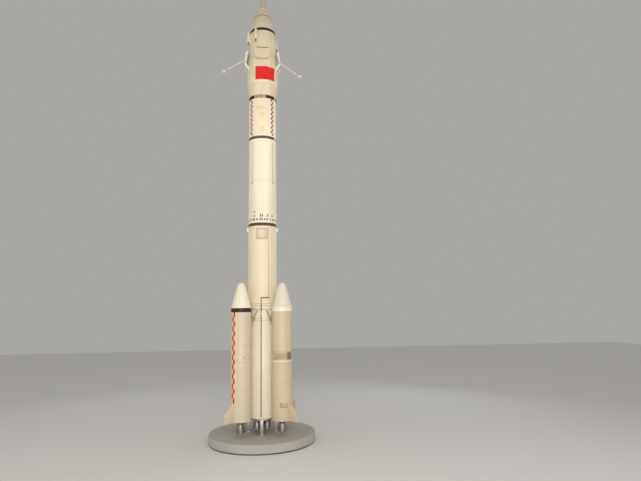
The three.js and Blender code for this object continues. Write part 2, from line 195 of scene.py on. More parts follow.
def makeHandledMetal():
    # turned and handled metal: fine tool rings, smudges and small pits
    tree, given, leave = newGroup("handledMetal", {
        "Colour": (0.5, 0.5, 0.5, 1), "Stain": (0.2, 0.15, 0.1, 1), "Staining": 0.4, "Gloss": 0.3,
    })
    where = put(tree, "ShaderNodeTexCoord").outputs["Object"]
    rings = put(tree, "ShaderNodeMapping", {}, {"Vector": where, "Scale": (2.0, 2.0, 260.0)}).outputs[0]
    ring = noise(tree, rings, 4.0, 3.0)
    smudge = noise(tree, where, 14.0, 6.0, 0.6)
    pit = fade(tree, noise(tree, where, 160.0, 3.0), 0.68, 0.78)
    stained = math(tree, "MULTIPLY", fade(tree, smudge, 0.4, 0.72), given["Staining"])
    colour = blendColour(tree, stained, given["Colour"], given["Stain"])
    colour = blendColour(tree, math(tree, "MULTIPLY", ring, 0.22), colour, (0.75, 0.73, 0.7, 1))
    rough = math(tree, "MULTIPLY_ADD", smudge, 0.25, given["Gloss"])
    rough = math(tree, "MULTIPLY_ADD", ring, 0.12, rough)
    height = math(tree, "MULTIPLY_ADD", pit, -0.6, ring)
    return endGroup(tree, leave, colour, rough, height)


agedPaint = makeAgedPaint()
handledMetal = makeHandledMetal()


def newMaterial(name):
    material = bpy.data.materials.new(name)
    material.use_nodes = True
    return material, material.node_tree, material.node_tree.nodes["Principled BSDF"]


def feedShader(tree, shader, group, feeds, strength, distance):
    # the group's colour and roughness go straight in, its height through a bump
    made = put(tree, "ShaderNodeGroup", {"node_tree": group}, feeds).outputs
    bumps = {"Height": made["Height"], "Strength": strength, "Distance": distance}
    tree.links.new(made["Colour"], shader.inputs["Base Color"])
    tree.links.new(made["Roughness"], shader.inputs["Roughness"])
    tree.links.new(put(tree, "ShaderNodeBump", {}, bumps).outputs["Normal"], shader.inputs["Normal"])


def makePaint(name, colour, tint, yellowing=0.5, streaks=0.25, dust=0.12, gloss=0.28, peel=0.12, coat=0.07,
              specular=0.32, low=None):
    # low is the paler colour that the paint takes further down, from the first height to the second:
    # painted light that lifts the shade falling between the boosters
    paint, tree, shader = newMaterial(name)
    colour = (*colour, 1)
    if low:
        paintedLightColour, lowFrom, lowTo = low
        where = put(tree, "ShaderNodeTexCoord").outputs["Object"]
        height = put(tree, "ShaderNodeSeparateXYZ", {}, {0: where}).outputs["Z"]
        colour = blendColour(tree, fade(tree, height, lowFrom, lowTo), colour, (*paintedLightColour, 1))
    feeds = {"Colour": colour, "Tint": (*tint, 1), "Yellowing": yellowing, "Streaks": streaks, "Dust": dust,
             "Gloss": gloss}
    feedShader(tree, shader, agedPaint, feeds, peel, 0.0006)
    shader.inputs["Coat Weight"].default_value = coat
    shader.inputs["Coat Roughness"].default_value = 0.12
    shader.inputs["Specular IOR Level"].default_value = specular
    return paint


def makeMetal(name, colour, stain, staining, gloss):
    metal, tree, shader = newMaterial(name)
    feeds = {"Colour": (*colour, 1), "Stain": (*stain, 1), "Staining": staining, "Gloss": gloss}
    feedShader(tree, shader, handledMetal, feeds, 0.25, 0.0004)
    shader.inputs["Metallic"].default_value = 1.0
    return metal


shelf = {  # slot: its paints or metals, each with the values of makePaint or makeMetal, in their order
    "ivory_paint": {
        "ivoryPaint": ((0.88, 0.765, 0.56), (0.78, 0.65, 0.43)),
        "palePaint": ((0.87, 0.805, 0.63), (0.78, 0.695, 0.5), 0.4),
        # painted light: the first stage turns paler downwards, lifting the shade that falls between the
        # boosters
        "firstStagePaint": ((0.88, 0.765, 0.56), (0.8, 0.68, 0.47), 0.4, 0.25, 0.12, 0.28, 0.12, 0.07, 0.32,
                            ((0.93, 0.85, 0.7), 1.75, 1.4)),
        # painted shade: the ivory made darker, for the down-turned boat tail and the hinge covers
        "boatPaint": ((0.77, 0.665, 0.49), (0.69, 0.57, 0.39)),
        # painted shade: the two booster paints below are the ivory made darker, since the boosters take
        # more lamp light than the core; the second is darker still, for the shadow on the pair without
        # black bands
        "boosterPaint": ((0.72, 0.62, 0.465), (0.63, 0.52, 0.35)),
        "creamPaint": ((0.67, 0.565, 0.4), (0.59, 0.475, 0.3)),
        # painted highlight: a light grey laid on the fairing's black band
        "bandGreyPaint": ((0.42, 0.36, 0.28), (0.34, 0.28, 0.2), 0.6, 0.4, 0.2),
        "redPaint": ((0.8, 0.012, 0.012), (0.72, 0.06, 0.03), 0.4, 0.15, 0.06, 0.4, 0.1, 0.05),
        "pinkEdgePaint": ((0.86, 0.6, 0.46), (0.8, 0.53, 0.38), 0.4, 0.15),
        "checkDarkPaint": ((0.22, 0.05, 0.02), (0.3, 0.09, 0.04), 0.6, 0.2, 0.1, 0.28),
        "checkPalePaint": ((0.92, 0.52, 0.36), (0.85, 0.47, 0.32), 0.5, 0.2),
        "coreEdgePaint": ((0.92, 0.78, 0.63), (0.86, 0.7, 0.53), 0.4, 0.2),
        "corePalePaint": ((0.93, 0.74, 0.59), (0.87, 0.67, 0.5), 0.4, 0.2),
        "oliveBandPaint": ((0.4, 0.33, 0.19), (0.48, 0.4, 0.25), 0.6, 0.3),
        "tanEdgePaint": ((0.55, 0.38, 0.25), (0.63, 0.46, 0.32), 0.5, 0.2),
        "tanPlatePaint": ((0.7, 0.55, 0.4), (0.62, 0.47, 0.33), 0.5, 0.2),
        "tanDiscPaint": ((0.78, 0.66, 0.5), (0.7, 0.57, 0.42), 0.5, 0.2),
        "goldPaint": ((0.84, 0.7, 0.38), (0.76, 0.6, 0.3), 0.5, 0.2),
        "greyMarkPaint": ((0.4, 0.38, 0.35), (0.3, 0.27, 0.23), 0.5, 0.2),
        "seamPaint": ((0.56, 0.47, 0.31), (0.46, 0.37, 0.23), 0.6, 0.3, 0.2, 0.4, 0.1, 0.1),
    },
    "white_paint": {
        "whitePaint": ((0.92, 0.87, 0.74), (0.83, 0.76, 0.6), 0.4, 0.2),
        "finPaint": ((0.9, 0.86, 0.78), (0.8, 0.73, 0.62), 0.35, 0.15),
        "bumpPaint": ((0.88, 0.87, 0.82), (0.78, 0.75, 0.68), 0.3, 0.15),
        # painted light and shade: the banded boosters' noses are painted whiter, partly for the light from
        # above; the other pair's noses are darker and greyer, for the shade on them
        "nosePaint": ((0.95, 0.87, 0.72), (0.86, 0.76, 0.58), 0.4, 0.2),
        "dullNosePaint": ((0.84, 0.77, 0.63), (0.75, 0.66, 0.5), 0.4, 0.2),
        # painted shade: the escape tower is painted darker, for the dimmer light at the top of the rocket
        "towerPaint": ((0.66, 0.58, 0.45), (0.59, 0.5, 0.37)),
    },
    "black_paint": {
        "blackPaint": ((0.04, 0.031, 0.023), (0.08, 0.055, 0.038), 0.7, 0.4, 0.2, 0.26, 0.12, 0.25),
        "dullBlackPaint": ((0.022, 0.016, 0.011), (0.05, 0.034, 0.024), 0.7, 0.4, 0.2, 0.4, 0.12, 0.05,
                           0.25),
        "greyBandPaint": ((0.085, 0.07, 0.06), (0.13, 0.1, 0.075), 0.6, 0.4, 0.2, 0.3, 0.12, 0.35),
    },
    "brown_paint": {
        "rustPaint": ((0.2, 0.085, 0.05), (0.28, 0.14, 0.085), 0.6, 0.3, 0.2, 0.4, 0.12, 0.1),
        # partly painted shade: the brace rods' khaki is dark enough to carry the shade beside them
        "rodPaint": ((0.52, 0.41, 0.28), (0.43, 0.33, 0.21), 0.6, 0.3, 0.2, 0.35, 0.12, 0.1),
        "pipePaint": ((0.15, 0.105, 0.065), (0.21, 0.145, 0.09), 0.6, 0.3, 0.2, 0.35, 0.12, 0.1),
        "tickPaint": ((0.19, 0.15, 0.1), (0.28, 0.22, 0.15), 0.6, 0.2, 0.1, 0.4, 0.1, 0.1),
        "oliveMarkPaint": ((0.13, 0.1, 0.055), (0.22, 0.17, 0.1), 0.6, 0.2, 0.1, 0.4, 0.1, 0.1),
        "bandEndPaint": ((0.2, 0.15, 0.12), (0.28, 0.22, 0.17), 0.6, 0.3, 0.2, 0.4, 0.12, 0.1),
        "nozzlePaint": ((0.2, 0.12, 0.07), (0.3, 0.2, 0.12), 0.6, 0.3, 0.2, 0.4, 0.12, 0.05),
    },
    "plinth_paint": {
        "plinthPaint": ((0.5, 0.48, 0.44), (0.42, 0.38, 0.32), 0.5, 0.1, 0.4, 0.5, 0.3, 0.05),
    },
    "engine_metal": {
        "engineMetal": ((0.3, 0.285, 0.26), (0.12, 0.085, 0.05), 0.6, 0.26),
    },
    "bare_metal": {
        "bareMetal": ((0.46, 0.45, 0.44), (0.25, 0.22, 0.18), 0.4, 0.28),
        "screwMetal": ((0.55, 0.52, 0.47), (0.22, 0.17, 0.11), 0.5, 0.3),
    },
}
finish, slotOf = {}, {}
for slot, mixes in shelf.items():
    for name, values in mixes.items():
        make = makeMetal if slot.endswith("metal") else makePaint
        finish[name], slotOf[name] = make(name, *values), slot

print("stage: bench tools")
bench = {
    "merge": 1e-6, "cadMerge": 1e-5, "sharp": 32.0, "dissolve": 4.0, "endEdge": 0.0007, "sunk": 0.002,
    # of a bolt's size: how deep its washer sits; how proud and how wide the washer, then the head
    "washerSunk": 0.3, "washer": (0.16, 1.05), "head": (0.62, 0.72), "headEdge": 0.1,
}


def hangPiece(name, bm, paints, body="rocket", replaced=()):
    # turns a bmesh into a finished piece, riding on its body
    bmesh.ops.remove_doubles(bm, verts=bm.verts, dist=bench["merge"])
    bmesh.ops.recalc_face_normals(bm, faces=bm.faces)
    mesh = bpy.data.meshes.new(name)
    bm.to_mesh(mesh)
    bm.free()
    mesh.polygons.foreach_set("use_smooth", [True] * len(mesh.polygons))
    mesh.set_sharp_from_angle(angle=radians(bench["sharp"]))
    for paint in paints:
        mesh.materials.append(finish[paint])
    piece = bpy.data.objects.new(name, mesh)
    bpy.context.scene.collection.objects.link(piece)
    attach(piece, body)
    if replaced:
        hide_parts(*replaced)


def rowsOf(node, x=0.0, y=0.0):
    # the turned profile of a solid, as rows of (radius, height) from its foot up
    places = [v.co for v in frame["nodes"][node].data.vertices]
    found = {(round(place.z, 5), round(hypot(place.x - x, place.y - y), 4)) for place in places}
    return [(radius, height) for height, radius in sorted(found) if radius > 0.0005]


def flowing(rows, steps=4, corner=24.0):
    # rounds a profile between its rows, and keeps the corners that are sharp
    points = [Vector((r, z)) for r, z in rows]
    lines = [b - a for a, b in zip(points, points[1:])]
    slopes = []
    for i in range(len(points)):
        before = lines[i - 1] if i else lines[0]
        after = lines[i] if i < len(lines) else lines[-1]
        keep = before.length > 0 and after.length > 0 and before.angle(after) < radians(corner)
        mean = (before.normalized() + after.normalized()).normalized() if keep else None
        slopes.append((mean or before.normalized(), mean or after.normalized()))
    made = [rows[0]]
    for i, line in enumerate(lines):
        start, end = slopes[i][1] * line.length, slopes[i + 1][0] * line.length
        for k in range(1, steps + 1):
            t = k / steps
            spot = points[i] * (2 * t ** 3 - 3 * t * t + 1) + start * (t ** 3 - 2 * t * t + t)
            spot += points[i + 1] * (3 * t * t - 2 * t ** 3) + end * (t ** 3 - t * t)
            made.append((spot.x, spot.y))
    return made


def spinRows(bm, rows, x=0.0, y=0.0, steps=96, capped=True, paint=0):
    # turns a profile about an upright axis; the two ends are softened and closed
    if capped:
        (r0, z0), (r1, z1) = rows[0], rows[-1]
        soft0, soft1 = min(bench["endEdge"], r0 / 3), min(bench["endEdge"], r1 / 3)
        rows = [(0, z0), (r0 - soft0, z0), (r0, z0 + soft0), *rows[1:-1], (r1, z1 - soft1),
                (r1 - soft1, z1), (0, z1)]
    verts = [bm.verts.new((r, 0, z)) for r, z in rows]
    edges = [bm.edges.new(pair) for pair in zip(verts, verts[1:])]
    if not capped:
        edges.append(bm.edges.new((verts[-1], verts[0])))
    old = set(bm.faces)
    bmesh.ops.spin(bm, geom=verts + edges, cent=(0, 0, 0), axis=(0, 0, 1), angle=2 * pi, steps=steps,
                   use_merge=True)
    faces = [face for face in bm.faces if face not in old]
    for face in faces:
        face.material_index = paint
    moved = list({vert for face in faces for vert in face.verts})
    bmesh.ops.remove_doubles(bm, verts=moved, dist=bench["merge"])
    moved = list({vert for face in faces if face.is_valid for vert in face.verts})
    bmesh.ops.translate(bm, verts=moved, vec=(x, y, 0))


def addHoop(bm, radius, height, tall, proud, x=0.0, y=0.0, steps=96, paint=0):
    low, high = height - tall / 2, height + tall / 2
    soft = min(proud, tall) * 0.3
    root = radius - bench["sunk"]
    rows = [(root, low), (radius + proud - soft, low), (radius + proud, low + soft),
            (radius + proud, high - soft), (radius + proud - soft, high), (root, high)]
    spinRows(bm, rows, x, y, steps, capped=False, paint=paint)


def placeSolid(bm, faces, edges, edge, segments, matrix, paint):
    # softens some edges of a new solid, then moves and paints the whole of it
    if edge:
        done = bmesh.ops.bevel(bm, geom=list(edges), offset=edge, segments=segments, profile=0.5,
                               affect="EDGES", material=-1)
        faces = set(done["faces"]) | {f for f in faces if f.is_valid}
    verts = list({v for f in faces for v in f.verts})
    bmesh.ops.transform(bm, verts=verts, matrix=matrix)
    for face in {f for v in verts for f in v.link_faces}:
        face.material_index = paint


def addBox(bm, size, place, edge=0.0006, turn=Matrix(), paint=0, segments=2):
    made = bmesh.ops.create_cube(bm, size=1.0)["verts"]
    bmesh.ops.scale(bm, verts=made, vec=size)
    faces = {f for v in made for f in v.link_faces}
    edges = {e for v in made for e in v.link_edges}
    placeSolid(bm, faces, edges, edge, segments, Matrix.Translation(place) @ turn, paint)


def addRod(bm, start, end, radius, sides=16, radiusEnd=None, edge=0.0004, paint=0):
    start, end = Vector(start), Vector(end)
    along = end - start
    radiusEnd = radius if radiusEnd is None else radiusEnd
    made = bmesh.ops.create_cone(bm, cap_ends=True, segments=sides, radius1=radius, radius2=radiusEnd,
                                 depth=along.length)["verts"]
    faces = {f for v in made for f in v.link_faces}
    rims = {e for f in faces if len(f.verts) > 4 for e in f.edges}
    turn = along.to_track_quat("Z", "Y").to_matrix().to_4x4()
    placeSolid(bm, faces, rims, edge, 2, Matrix.Translation((start + end) / 2) @ turn, paint)


def addTube(bm, path, radius, sides=14):
    # a round rod bent along a path that stays in one upright plane across Y
    rings = []
    for i, spot in enumerate(path):
        along = path[min(i + 1, len(path) - 1)] - path[max(i - 1, 0)]
        turn = along.to_track_quat("Z", "Y").to_matrix().to_4x4()
        made = bmesh.ops.create_circle(bm, segments=sides, radius=radius, cap_ends=i in (0, len(path) - 1),
                                       matrix=Matrix.Translation(spot) @ turn)
        rings.append(made["verts"])
    for pair in zip(rings, rings[1:]):
        edges = {e for ring in pair for v in ring for e in v.link_edges if e.other_vert(v) in ring}
        bmesh.ops.bridge_loops(bm, edges=list(edges))
    return [v for ring in rings for v in ring]


def addBolt(bm, place, outward, size, paint=1):
    # a hexagon head on a washer, in the piece's second paint
    place, along = Vector(place), Vector(outward).normalized() * size
    (washerUp, washer), (headUp, head) = bench["washer"], bench["head"]
    foot = place - along * bench["washerSunk"]
    addRod(bm, foot, place + along * washerUp, size * washer, 14, edge=0, paint=paint)
    addRod(bm, place, place + along * headUp, size * head, 6, edge=size * bench["headEdge"], paint=paint)


def softenEdges(bm, width, sharp=38.0, segments=2):
    edges = [e for e in bm.edges if len(e.link_faces) == 2 and e.calc_face_angle(0) > radians(sharp)]
    bmesh.ops.bevel(bm, geom=edges, offset=width, segments=segments, profile=0.5, affect="EDGES",
                    material=-1, clamp_overlap=True)


def cadCopy(node, edge):
    # a merged working copy of a solid, with its flat faces made whole again and its edges softened
    bm = bmesh.new()
    bm.from_mesh(frame["nodes"][node].data)
    bmesh.ops.remove_doubles(bm, verts=bm.verts, dist=bench["cadMerge"])
    bmesh.ops.dissolve_limit(bm, angle_limit=radians(bench["dissolve"]), verts=bm.verts, edges=bm.edges)
    softenEdges(bm, edge)
    return bm


def around(azimuth, radius, height):
    # a place at an angle from the camera's side, counted towards +X
    angle = radians(azimuth + camera["bearing"])
    return Vector((radius * sin(angle), -radius * cos(angle), height))


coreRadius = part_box("stage_band")[1].x
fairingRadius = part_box("fairing_lower")[1].x
boosterPlaces = {}
for name in ("front_left", "front_right", "rear_right", "rear_left"):
    low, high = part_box(f"booster_{name}_band")
    boosterPlaces[name] = ((low.x + high.x) / 2, (low.y + high.y) / 2)
boosterRadius = (high.x - low.x) / 2
coreSteps, towerSteps, boosterSteps = 128, 64, 80


def spanAt(azimuth, wide, low, tall, radius=coreRadius):
    # the span of a patch from its middle angle and its width along the skin
    half = degrees(wide / 2 / radius)
    return azimuth - half, azimuth + half, low, low + tall


def layPatch(bm, span, columns, rows, chooser=None, thick=0.0005, turned=0, radius=coreRadius,
             middle=(0, 0)):
    # a thin painted patch round a cylinder; span is its left and right angle, 0 facing the camera,
    # and its low and high end
    left, right, low, high = span
    made = bmesh.ops.create_grid(bm, x_segments=columns, y_segments=rows, size=0.5)["verts"]
    faces = list({f for v in made for f in v.link_faces})
    for face in faces if chooser else ():
        centre = face.calc_center_median()
        face.material_index = chooser(centre.x + 0.5, centre.y + 0.5)
    for vert in made:
        azimuth = left + turned + (vert.co.x + 0.5) * (right - left)
        height = low + (vert.co.y + 0.5) * (high - low)
        vert.co = around(azimuth, radius + thick, height) + Vector((*middle, 0))
    bmesh.ops.recalc_face_normals(bm, faces=faces)
    bmesh.ops.solidify(bm, geom=faces, thickness=thick * 2)


def hangPatches(name, paints, patches, turns=(0,), **rest):
    # patches as one piece, repeated at each turn; a patch is its span, columns, rows and any chooser
    bm = bmesh.new()
    for turned in turns:
        for patch in patches:
            layPatch(bm, *patch, turned=turned, **rest)
    hangPiece(name, bm, paints)


print("stage: core skins")
coreSkins = {  # solid: paint
    "first_stage_lower_tank": "firstStagePaint", "first_stage_upper_tank": "firstStagePaint",
    "stage_band": "blackPaint", "second_stage_aft_section": "palePaint", "second_stage_tank": "palePaint",
    "second_stage_band": "greyBandPaint", "second_stage_forward_section": "ivoryPaint",
    # the boat tail's darker ivory is painted shade on its down-turned face
    "fairing_base_band": "dullBlackPaint", "fairing_boat_tail": "boatPaint", "fairing_lower": "ivoryPaint",
    "fairing_upper": "ivoryPaint", "nose_band": "blackPaint", "nose_cone": "ivoryPaint",
    # the tower's darker paint is painted shade
    "escape_skirt": "ivoryPaint", "escape_motor": "towerPaint", "escape_head": "towerPaint",
}
roundedSkins = ("fairing_upper", "nose_cone", "escape_skirt", "escape_head")


def turnSkin(node, rows, paint, x=0.0, y=0.0, steps=coreSteps):
    bm = bmesh.new()
    spinRows(bm, rows, x, y, steps)
    hangPiece(node + "_skin", bm, [paint], replaced=[node])


for node, paint in coreSkins.items():
    rows = flowing(rowsOf(node)) if node in roundedSkins else rowsOf(node)
    turnSkin(node, rows, paint, steps=towerSteps if node.startswith("escape") else coreSteps)

hoops = [
    # height, how tall, how proud, radius, paint (0 white, 1 seam, 2 dark brown, 3 rust)
    (1.348, 0.0035, 0.0006, coreRadius, 1), (1.371, 0.0035, 0.0006, coreRadius, 1),
    (1.475, 0.004, 0.0006, coreRadius, 2),
    (1.519, 0.0035, 0.0006, coreRadius, 1), (1.542, 0.0035, 0.0006, coreRadius, 1),
    (2.494, 0.014, 0.0012, coreRadius, 0),
    (2.988, 0.002, 0.0004, coreRadius, 1), (3.018, 0.002, 0.0004, coreRadius, 1),
    (3.505, 0.012, 0.001, coreRadius, 0), (3.555, 0.01, 0.0008, coreRadius, 0),
    (4.205, 0.004, 0.0006, fairingRadius, 1), (4.422, 0.0025, 0.0005, fairingRadius, 1),
    (4.598, 0.003, 0.0006, coreRadius, 1), (4.903, 0.007, 0.001, 0.1628, 0),
    (4.958, 0.007, 0.001, 0.1598, 0), (5.1515, 0.006, 0.0006, 0.0987, 3),
    (5.268, 0.006, 0.0012, 0.0395, 0), (5.279, 0.006, 0.0015, 0.036, 0), (5.46, 0.006, 0.0012, 0.036, 1),
]


def fitHoops(lines):
    bm = bmesh.new()
    for height, tall, proud, radius, paint in lines:
        steps = coreSteps if radius > 0.12 else towerSteps
        addHoop(bm, radius, height, tall, proud, steps=steps, paint=paint)
    hangPiece("core_hoops", bm, ["whitePaint", "seamPaint", "pipePaint", "rustPaint"])


fitHoops(hoops)

collar = {
    "low": 2.398, "high": 2.442, "wide": 0.036, "edge": 0.007, "reach": 0.188, "sunk": 0.005,
    # a bump's eye, and sideways and up, the two light ribs under a bump
    "eye": 0.0055, "eyeDeep": 0.004, "eyeProud": 0.0004, "ribFoot": (0.03, 2.343), "ribTop": (0.008, 2.4),
    "ribSunk": 0.003, "rib": (0.003, 12, 0.0015),
}


def fitCollar(c):
    low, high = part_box("stage_collar")
    bm = bmesh.new()
    spinRows(bm, [(coreRadius, low.z), (coreRadius, high.z)], steps=coreSteps, paint=2)
    middle = (c["low"] + c["high"]) / 2
    deep = c["reach"] - coreRadius + c["sunk"]
    for side in (-1, 1):
        place = (side * (c["reach"] - deep / 2), 0, middle)
        addBox(bm, (deep, c["wide"], c["high"] - c["low"]), place, c["edge"], segments=5)
        back, front = (side * (c["reach"] + past) for past in (-c["eyeDeep"], c["eyeProud"]))
        addRod(bm, (back, 0, middle), (front, 0, middle), c["eye"], 24, paint=1)
        for y in (-1, 1):
            start = (side * coreRadius, y * c["ribTop"][0], c["ribTop"][1])
            end = (side * (coreRadius - c["ribSunk"]), y * c["ribFoot"][0], c["ribFoot"][1])
            addRod(bm, start, end, *c["rib"])
    paints = ["bumpPaint", "greyMarkPaint", "ivoryPaint"]
    hangPiece("stage_collar_skin", bm, paints, replaced=["stage_collar"])


fitCollar(collar)

print("stage: skirts, engines and stand")
skirt = {"wall": 0.01, "lipTall": 0.008, "lipProud": 0.0015, "edge": 0.001, "topEdge": 0.0007}
bell = {
    "mouth": 0.045, "throat": 0.017, "wall": 0.0035, "chamber": 0.026, "long": 0.12, "dome": 0.024,
    "neck": 0.003, "topSunk": 0.002, "waist": 0.36, "hoops": (0.016, 0.05, 0.084), "hoopTall": 0.004,
    "hoopProud": 0.0018, "manifoldUp": 0.012, "manifoldTall": 0.01, "manifoldProud": 0.005, "steps": 40,
    "elbows": (40, 220), "elbow": 0.0045, "elbowIn": 0.003, "elbowOut": 0.012, "elbowUp": 0.03,
    # the thrust plates: their bolts and steps on the core and on a booster
    "ring": 0.08, "plateDeep": 0.108, "plateGap": 0.001, "rimIn": 0.008, "bolt": 0.003,
    "coreRim": (24, 96), "boosterRim": (16, 64),
}


def turnSkirt(bm, radius, x, y, low, high, s, steps):
    inner, edge, topEdge = radius - s["wall"], s["edge"], s["topEdge"]
    rows = [(inner, low), (radius - edge, low), (radius, low + edge), (radius, high - topEdge),
            (radius - topEdge, high), (inner, high)]
    spinRows(bm, rows, x, y, steps, capped=False)
    addHoop(bm, radius, low + s["lipTall"] / 2, s["lipTall"], s["lipProud"], x, y, steps)


def turnBell(bm, x, y, mouth, top, b):
    # a hollow bell on its chamber, with stiffening hoops, a manifold and feed elbows
    def radiusAt(share):
        return b["throat"] + (b["mouth"] - b["throat"]) * (1 - share ** 2)

    throat = mouth + b["long"]
    waist = (radiusAt(b["waist"]), mouth + b["waist"] * b["long"])
    outside = flowing([(b["mouth"], mouth), waist, (b["throat"], throat)], 6, 60)
    inside = [(r - b["wall"], z) for r, z in reversed(outside)]
    chamber = [(b["throat"], throat + b["neck"]), (b["chamber"], throat + b["dome"]), (b["chamber"], top),
               (b["throat"] - b["wall"], top)]
    spinRows(bm, outside + chamber + [(inside[0][0], throat)] + inside[1:], x, y, b["steps"], capped=False)
    for up in b["hoops"]:
        addHoop(bm, radiusAt(up / b["long"]), mouth + up, b["hoopTall"], b["hoopProud"], x, y, b["steps"])
    manifold = throat + b["dome"] + b["manifoldUp"]
    addHoop(bm, b["chamber"], manifold, b["manifoldTall"], b["manifoldProud"], x, y, b["steps"])
    for angle in b["elbows"]:
        out = Vector((cos(radians(angle)), sin(radians(angle)), 0))
        foot = Vector((x, y, manifold)) + out * (b["chamber"] + b["elbowIn"])
        addRod(bm, foot, foot + out * b["elbowOut"] + Vector((0, 0, b["elbowUp"])), b["elbow"], 12)


def fitEngines(node, x, y, places, plateRadius, rim, b):
    low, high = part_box(node)
    bolts, steps = rim
    bm = bmesh.new()
    plateLow = high.z - b["plateDeep"]
    spinRows(bm, [(plateRadius, plateLow), (plateRadius, high.z)], x, y, steps)
    for dx, dy in places:
        turnBell(bm, x + dx, y + dy, low.z, plateLow + b["topSunk"], b)
    out = plateRadius - b["rimIn"]
    for k in range(bolts):
        angle = 2 * pi * k / bolts
        addBolt(bm, (x + out * cos(angle), y + out * sin(angle), plateLow), (0, 0, -1), b["bolt"])
    hangPiece(node + "_skin", bm, ["engineMetal", "screwMetal"], replaced=[node])


def fitCoreFoot(s, b):
    low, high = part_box("core_skirt")
    bm = bmesh.new()
    turnSkirt(bm, coreRadius, 0, 0, low.z, high.z, s, coreSteps)
    hangPiece("core_skirt_skin", bm, ["firstStagePaint"], replaced=["core_skirt"])
    out = b["ring"] * cos(pi / 4)
    places = [(sx * out, sy * out) for sx in (-1, 1) for sy in (-1, 1)]
    fitEngines("core_engines", 0, 0, places, coreRadius - s["wall"] - b["plateGap"], b["coreRim"], b)


fitCoreFoot(skirt, bell)

stand = {
    "ringInner": 0.146, "ringOuter": 0.176, "ringTall": 0.018, "edge": 0.0012,
    "leg": 0.038, "legRadius": 0.161, "legEdge": 0.0015,
    "foot": 0.058, "footPast": 0.024, "footTall": 0.008, "footEdge": 0.001,
    "boltOut": 0.0235, "bolt": 0.004,
}


def fitStand(s):
    low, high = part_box("stand")
    bm = bmesh.new()
    bottom = high.z - s["ringTall"]
    soft = s["edge"]
    rows = [(s["ringInner"], bottom), (s["ringOuter"] - soft, bottom), (s["ringOuter"], bottom + soft),
            (s["ringOuter"], high.z - soft), (s["ringOuter"] - soft, high.z), (s["ringInner"], high.z)]
    spinRows(bm, rows, capped=False)
    tall = high.z - s["ringTall"] / 2 - low.z
    for angle in (0, 90, 180, 270):
        turn = Matrix.Rotation(radians(angle), 4, "Z")
        leg = turn @ Vector((s["legRadius"], 0, low.z + tall / 2))
        addBox(bm, (s["leg"], s["leg"], tall), leg, s["legEdge"], turn)
        foot = turn @ Vector((s["legRadius"], 0, low.z + s["footTall"] / 2))
        addBox(bm, (s["leg"] + s["footPast"], s["foot"], s["footTall"]), foot, s["footEdge"], turn)
        for side in (-1, 1):
            bolt = turn @ Vector((s["legRadius"], side * s["boltOut"], low.z + s["footTall"]))
            addBolt(bm, bolt, (0, 0, 1), s["bolt"])
    hangPiece("stand_frame", bm, ["bareMetal", "screwMetal"], replaced=["stand"])


fitStand(stand)

plinth = {"edge": 0.008, "skirting": 0.012, "skirtingIn": 0.006, "lipTall": 0.001, "steps": 160}


def fitPlinth(p):
    low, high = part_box("plinth")
    radius, edge = high.x, p["edge"]
    quarter = [t * pi / 12 for t in range(6, -1, -1)]
    arc = [(radius - edge + edge * sin(t), high.z - edge * (1 - cos(t))) for t in quarter]
    inner, upper = radius - p["skirtingIn"], low.z + p["skirting"]
    rows = [(0, low.z), (inner, low.z), (inner, upper), (radius, upper + p["lipTall"]), *arc, (0, high.z)]
    bm = bmesh.new()
    spinRows(bm, rows, steps=p["steps"], capped=False)
    for face in bm.faces:
        if face.calc_center_median().z < upper:
            face.material_index = 1
    hangPiece("plinth_body", bm, ["plinthPaint", "blackPaint"], replaced=["plinth"])


fitPlinth(plinth)

print("stage: boosters")
booster = {
    "blackBands": ("front_left", "rear_right"), "turned": ("rear_right", "rear_left"), "skirtLow": 0.27,
    "tip": (0.6, 0.0016), "bandGap": 0.0003, "coreGap": 0.0006,
    # the blocks on the core: wide and tall, and their bolts: from the core, sideways and up
    "block": (0.044, 0.060), "blockHeights": (1.33, 0.56), "blockEdge": 0.0025, "blockSunk": 0.012,
    "blockBolts": (0.006, 0.022, 0.02), "blockBolt": 0.0032,
    # a brace rod: angle and height on the core, angle and height on the booster
    "braces": [(25.5, 1.455, 135, 1.29), (15, 1.362, 146, 1.424)],
    "rod": 0.0065, "rodSunk": 0.004, "rodFoot": 0.009, "knee": 0.008,
    # the tail fin and its outline: past the booster's skin and height
    "finThick": 0.010, "finEdge": 0.0035,
    "fin": [(-0.004, 0.27), (0.115, 0.262), (0.115, 0.36), (-0.004, 0.464)],
}
boosterLines = {  # height and how tall, on the boosters with a checked strip and on the two others
    "proud": 0.0004,
    "checked": [(1.087, 0.003), (1.058, 0.003), (0.994, 0.003), (0.93, 0.003), (0.905, 0.004)],
    "banded": [(1.449, 0.004), (1.008, 0.009), (0.9936, 0.005), (0.884, 0.004)],
}
checks = {
    "left": -55.0, "right": -33.5, "rows": 19, "backLeft": -65.0, "backRight": -21.5,
    "clear": 0.0006, "marks": [((18, 33, 0.952, 0.964), 3, 2), ((47, 49.5, 0.925, 0.985), 2, 4)],
}
olive = {  # on the two others: the painted band, its dark end, the small panel on the skirt, the pale hoop
    "band": (-60.0, 27.0, 0.921, 0.993), "end": (27.0, 60.0, 0.921, 1.004),
    "panel": (-17.0, 30.0, 0.4125, 0.465), "hoop": (0.907, 0.025, 0.0008),
}


def boosterTurn(name):
    x, y = boosterPlaces[name]
    outward = Vector((x, y, 0)).normalized()
    return Matrix(((outward.x, -outward.y, 0, 0), (outward.y, outward.x, 0, 0), (0, 0, 1, 0), (0, 0, 0, 1)))


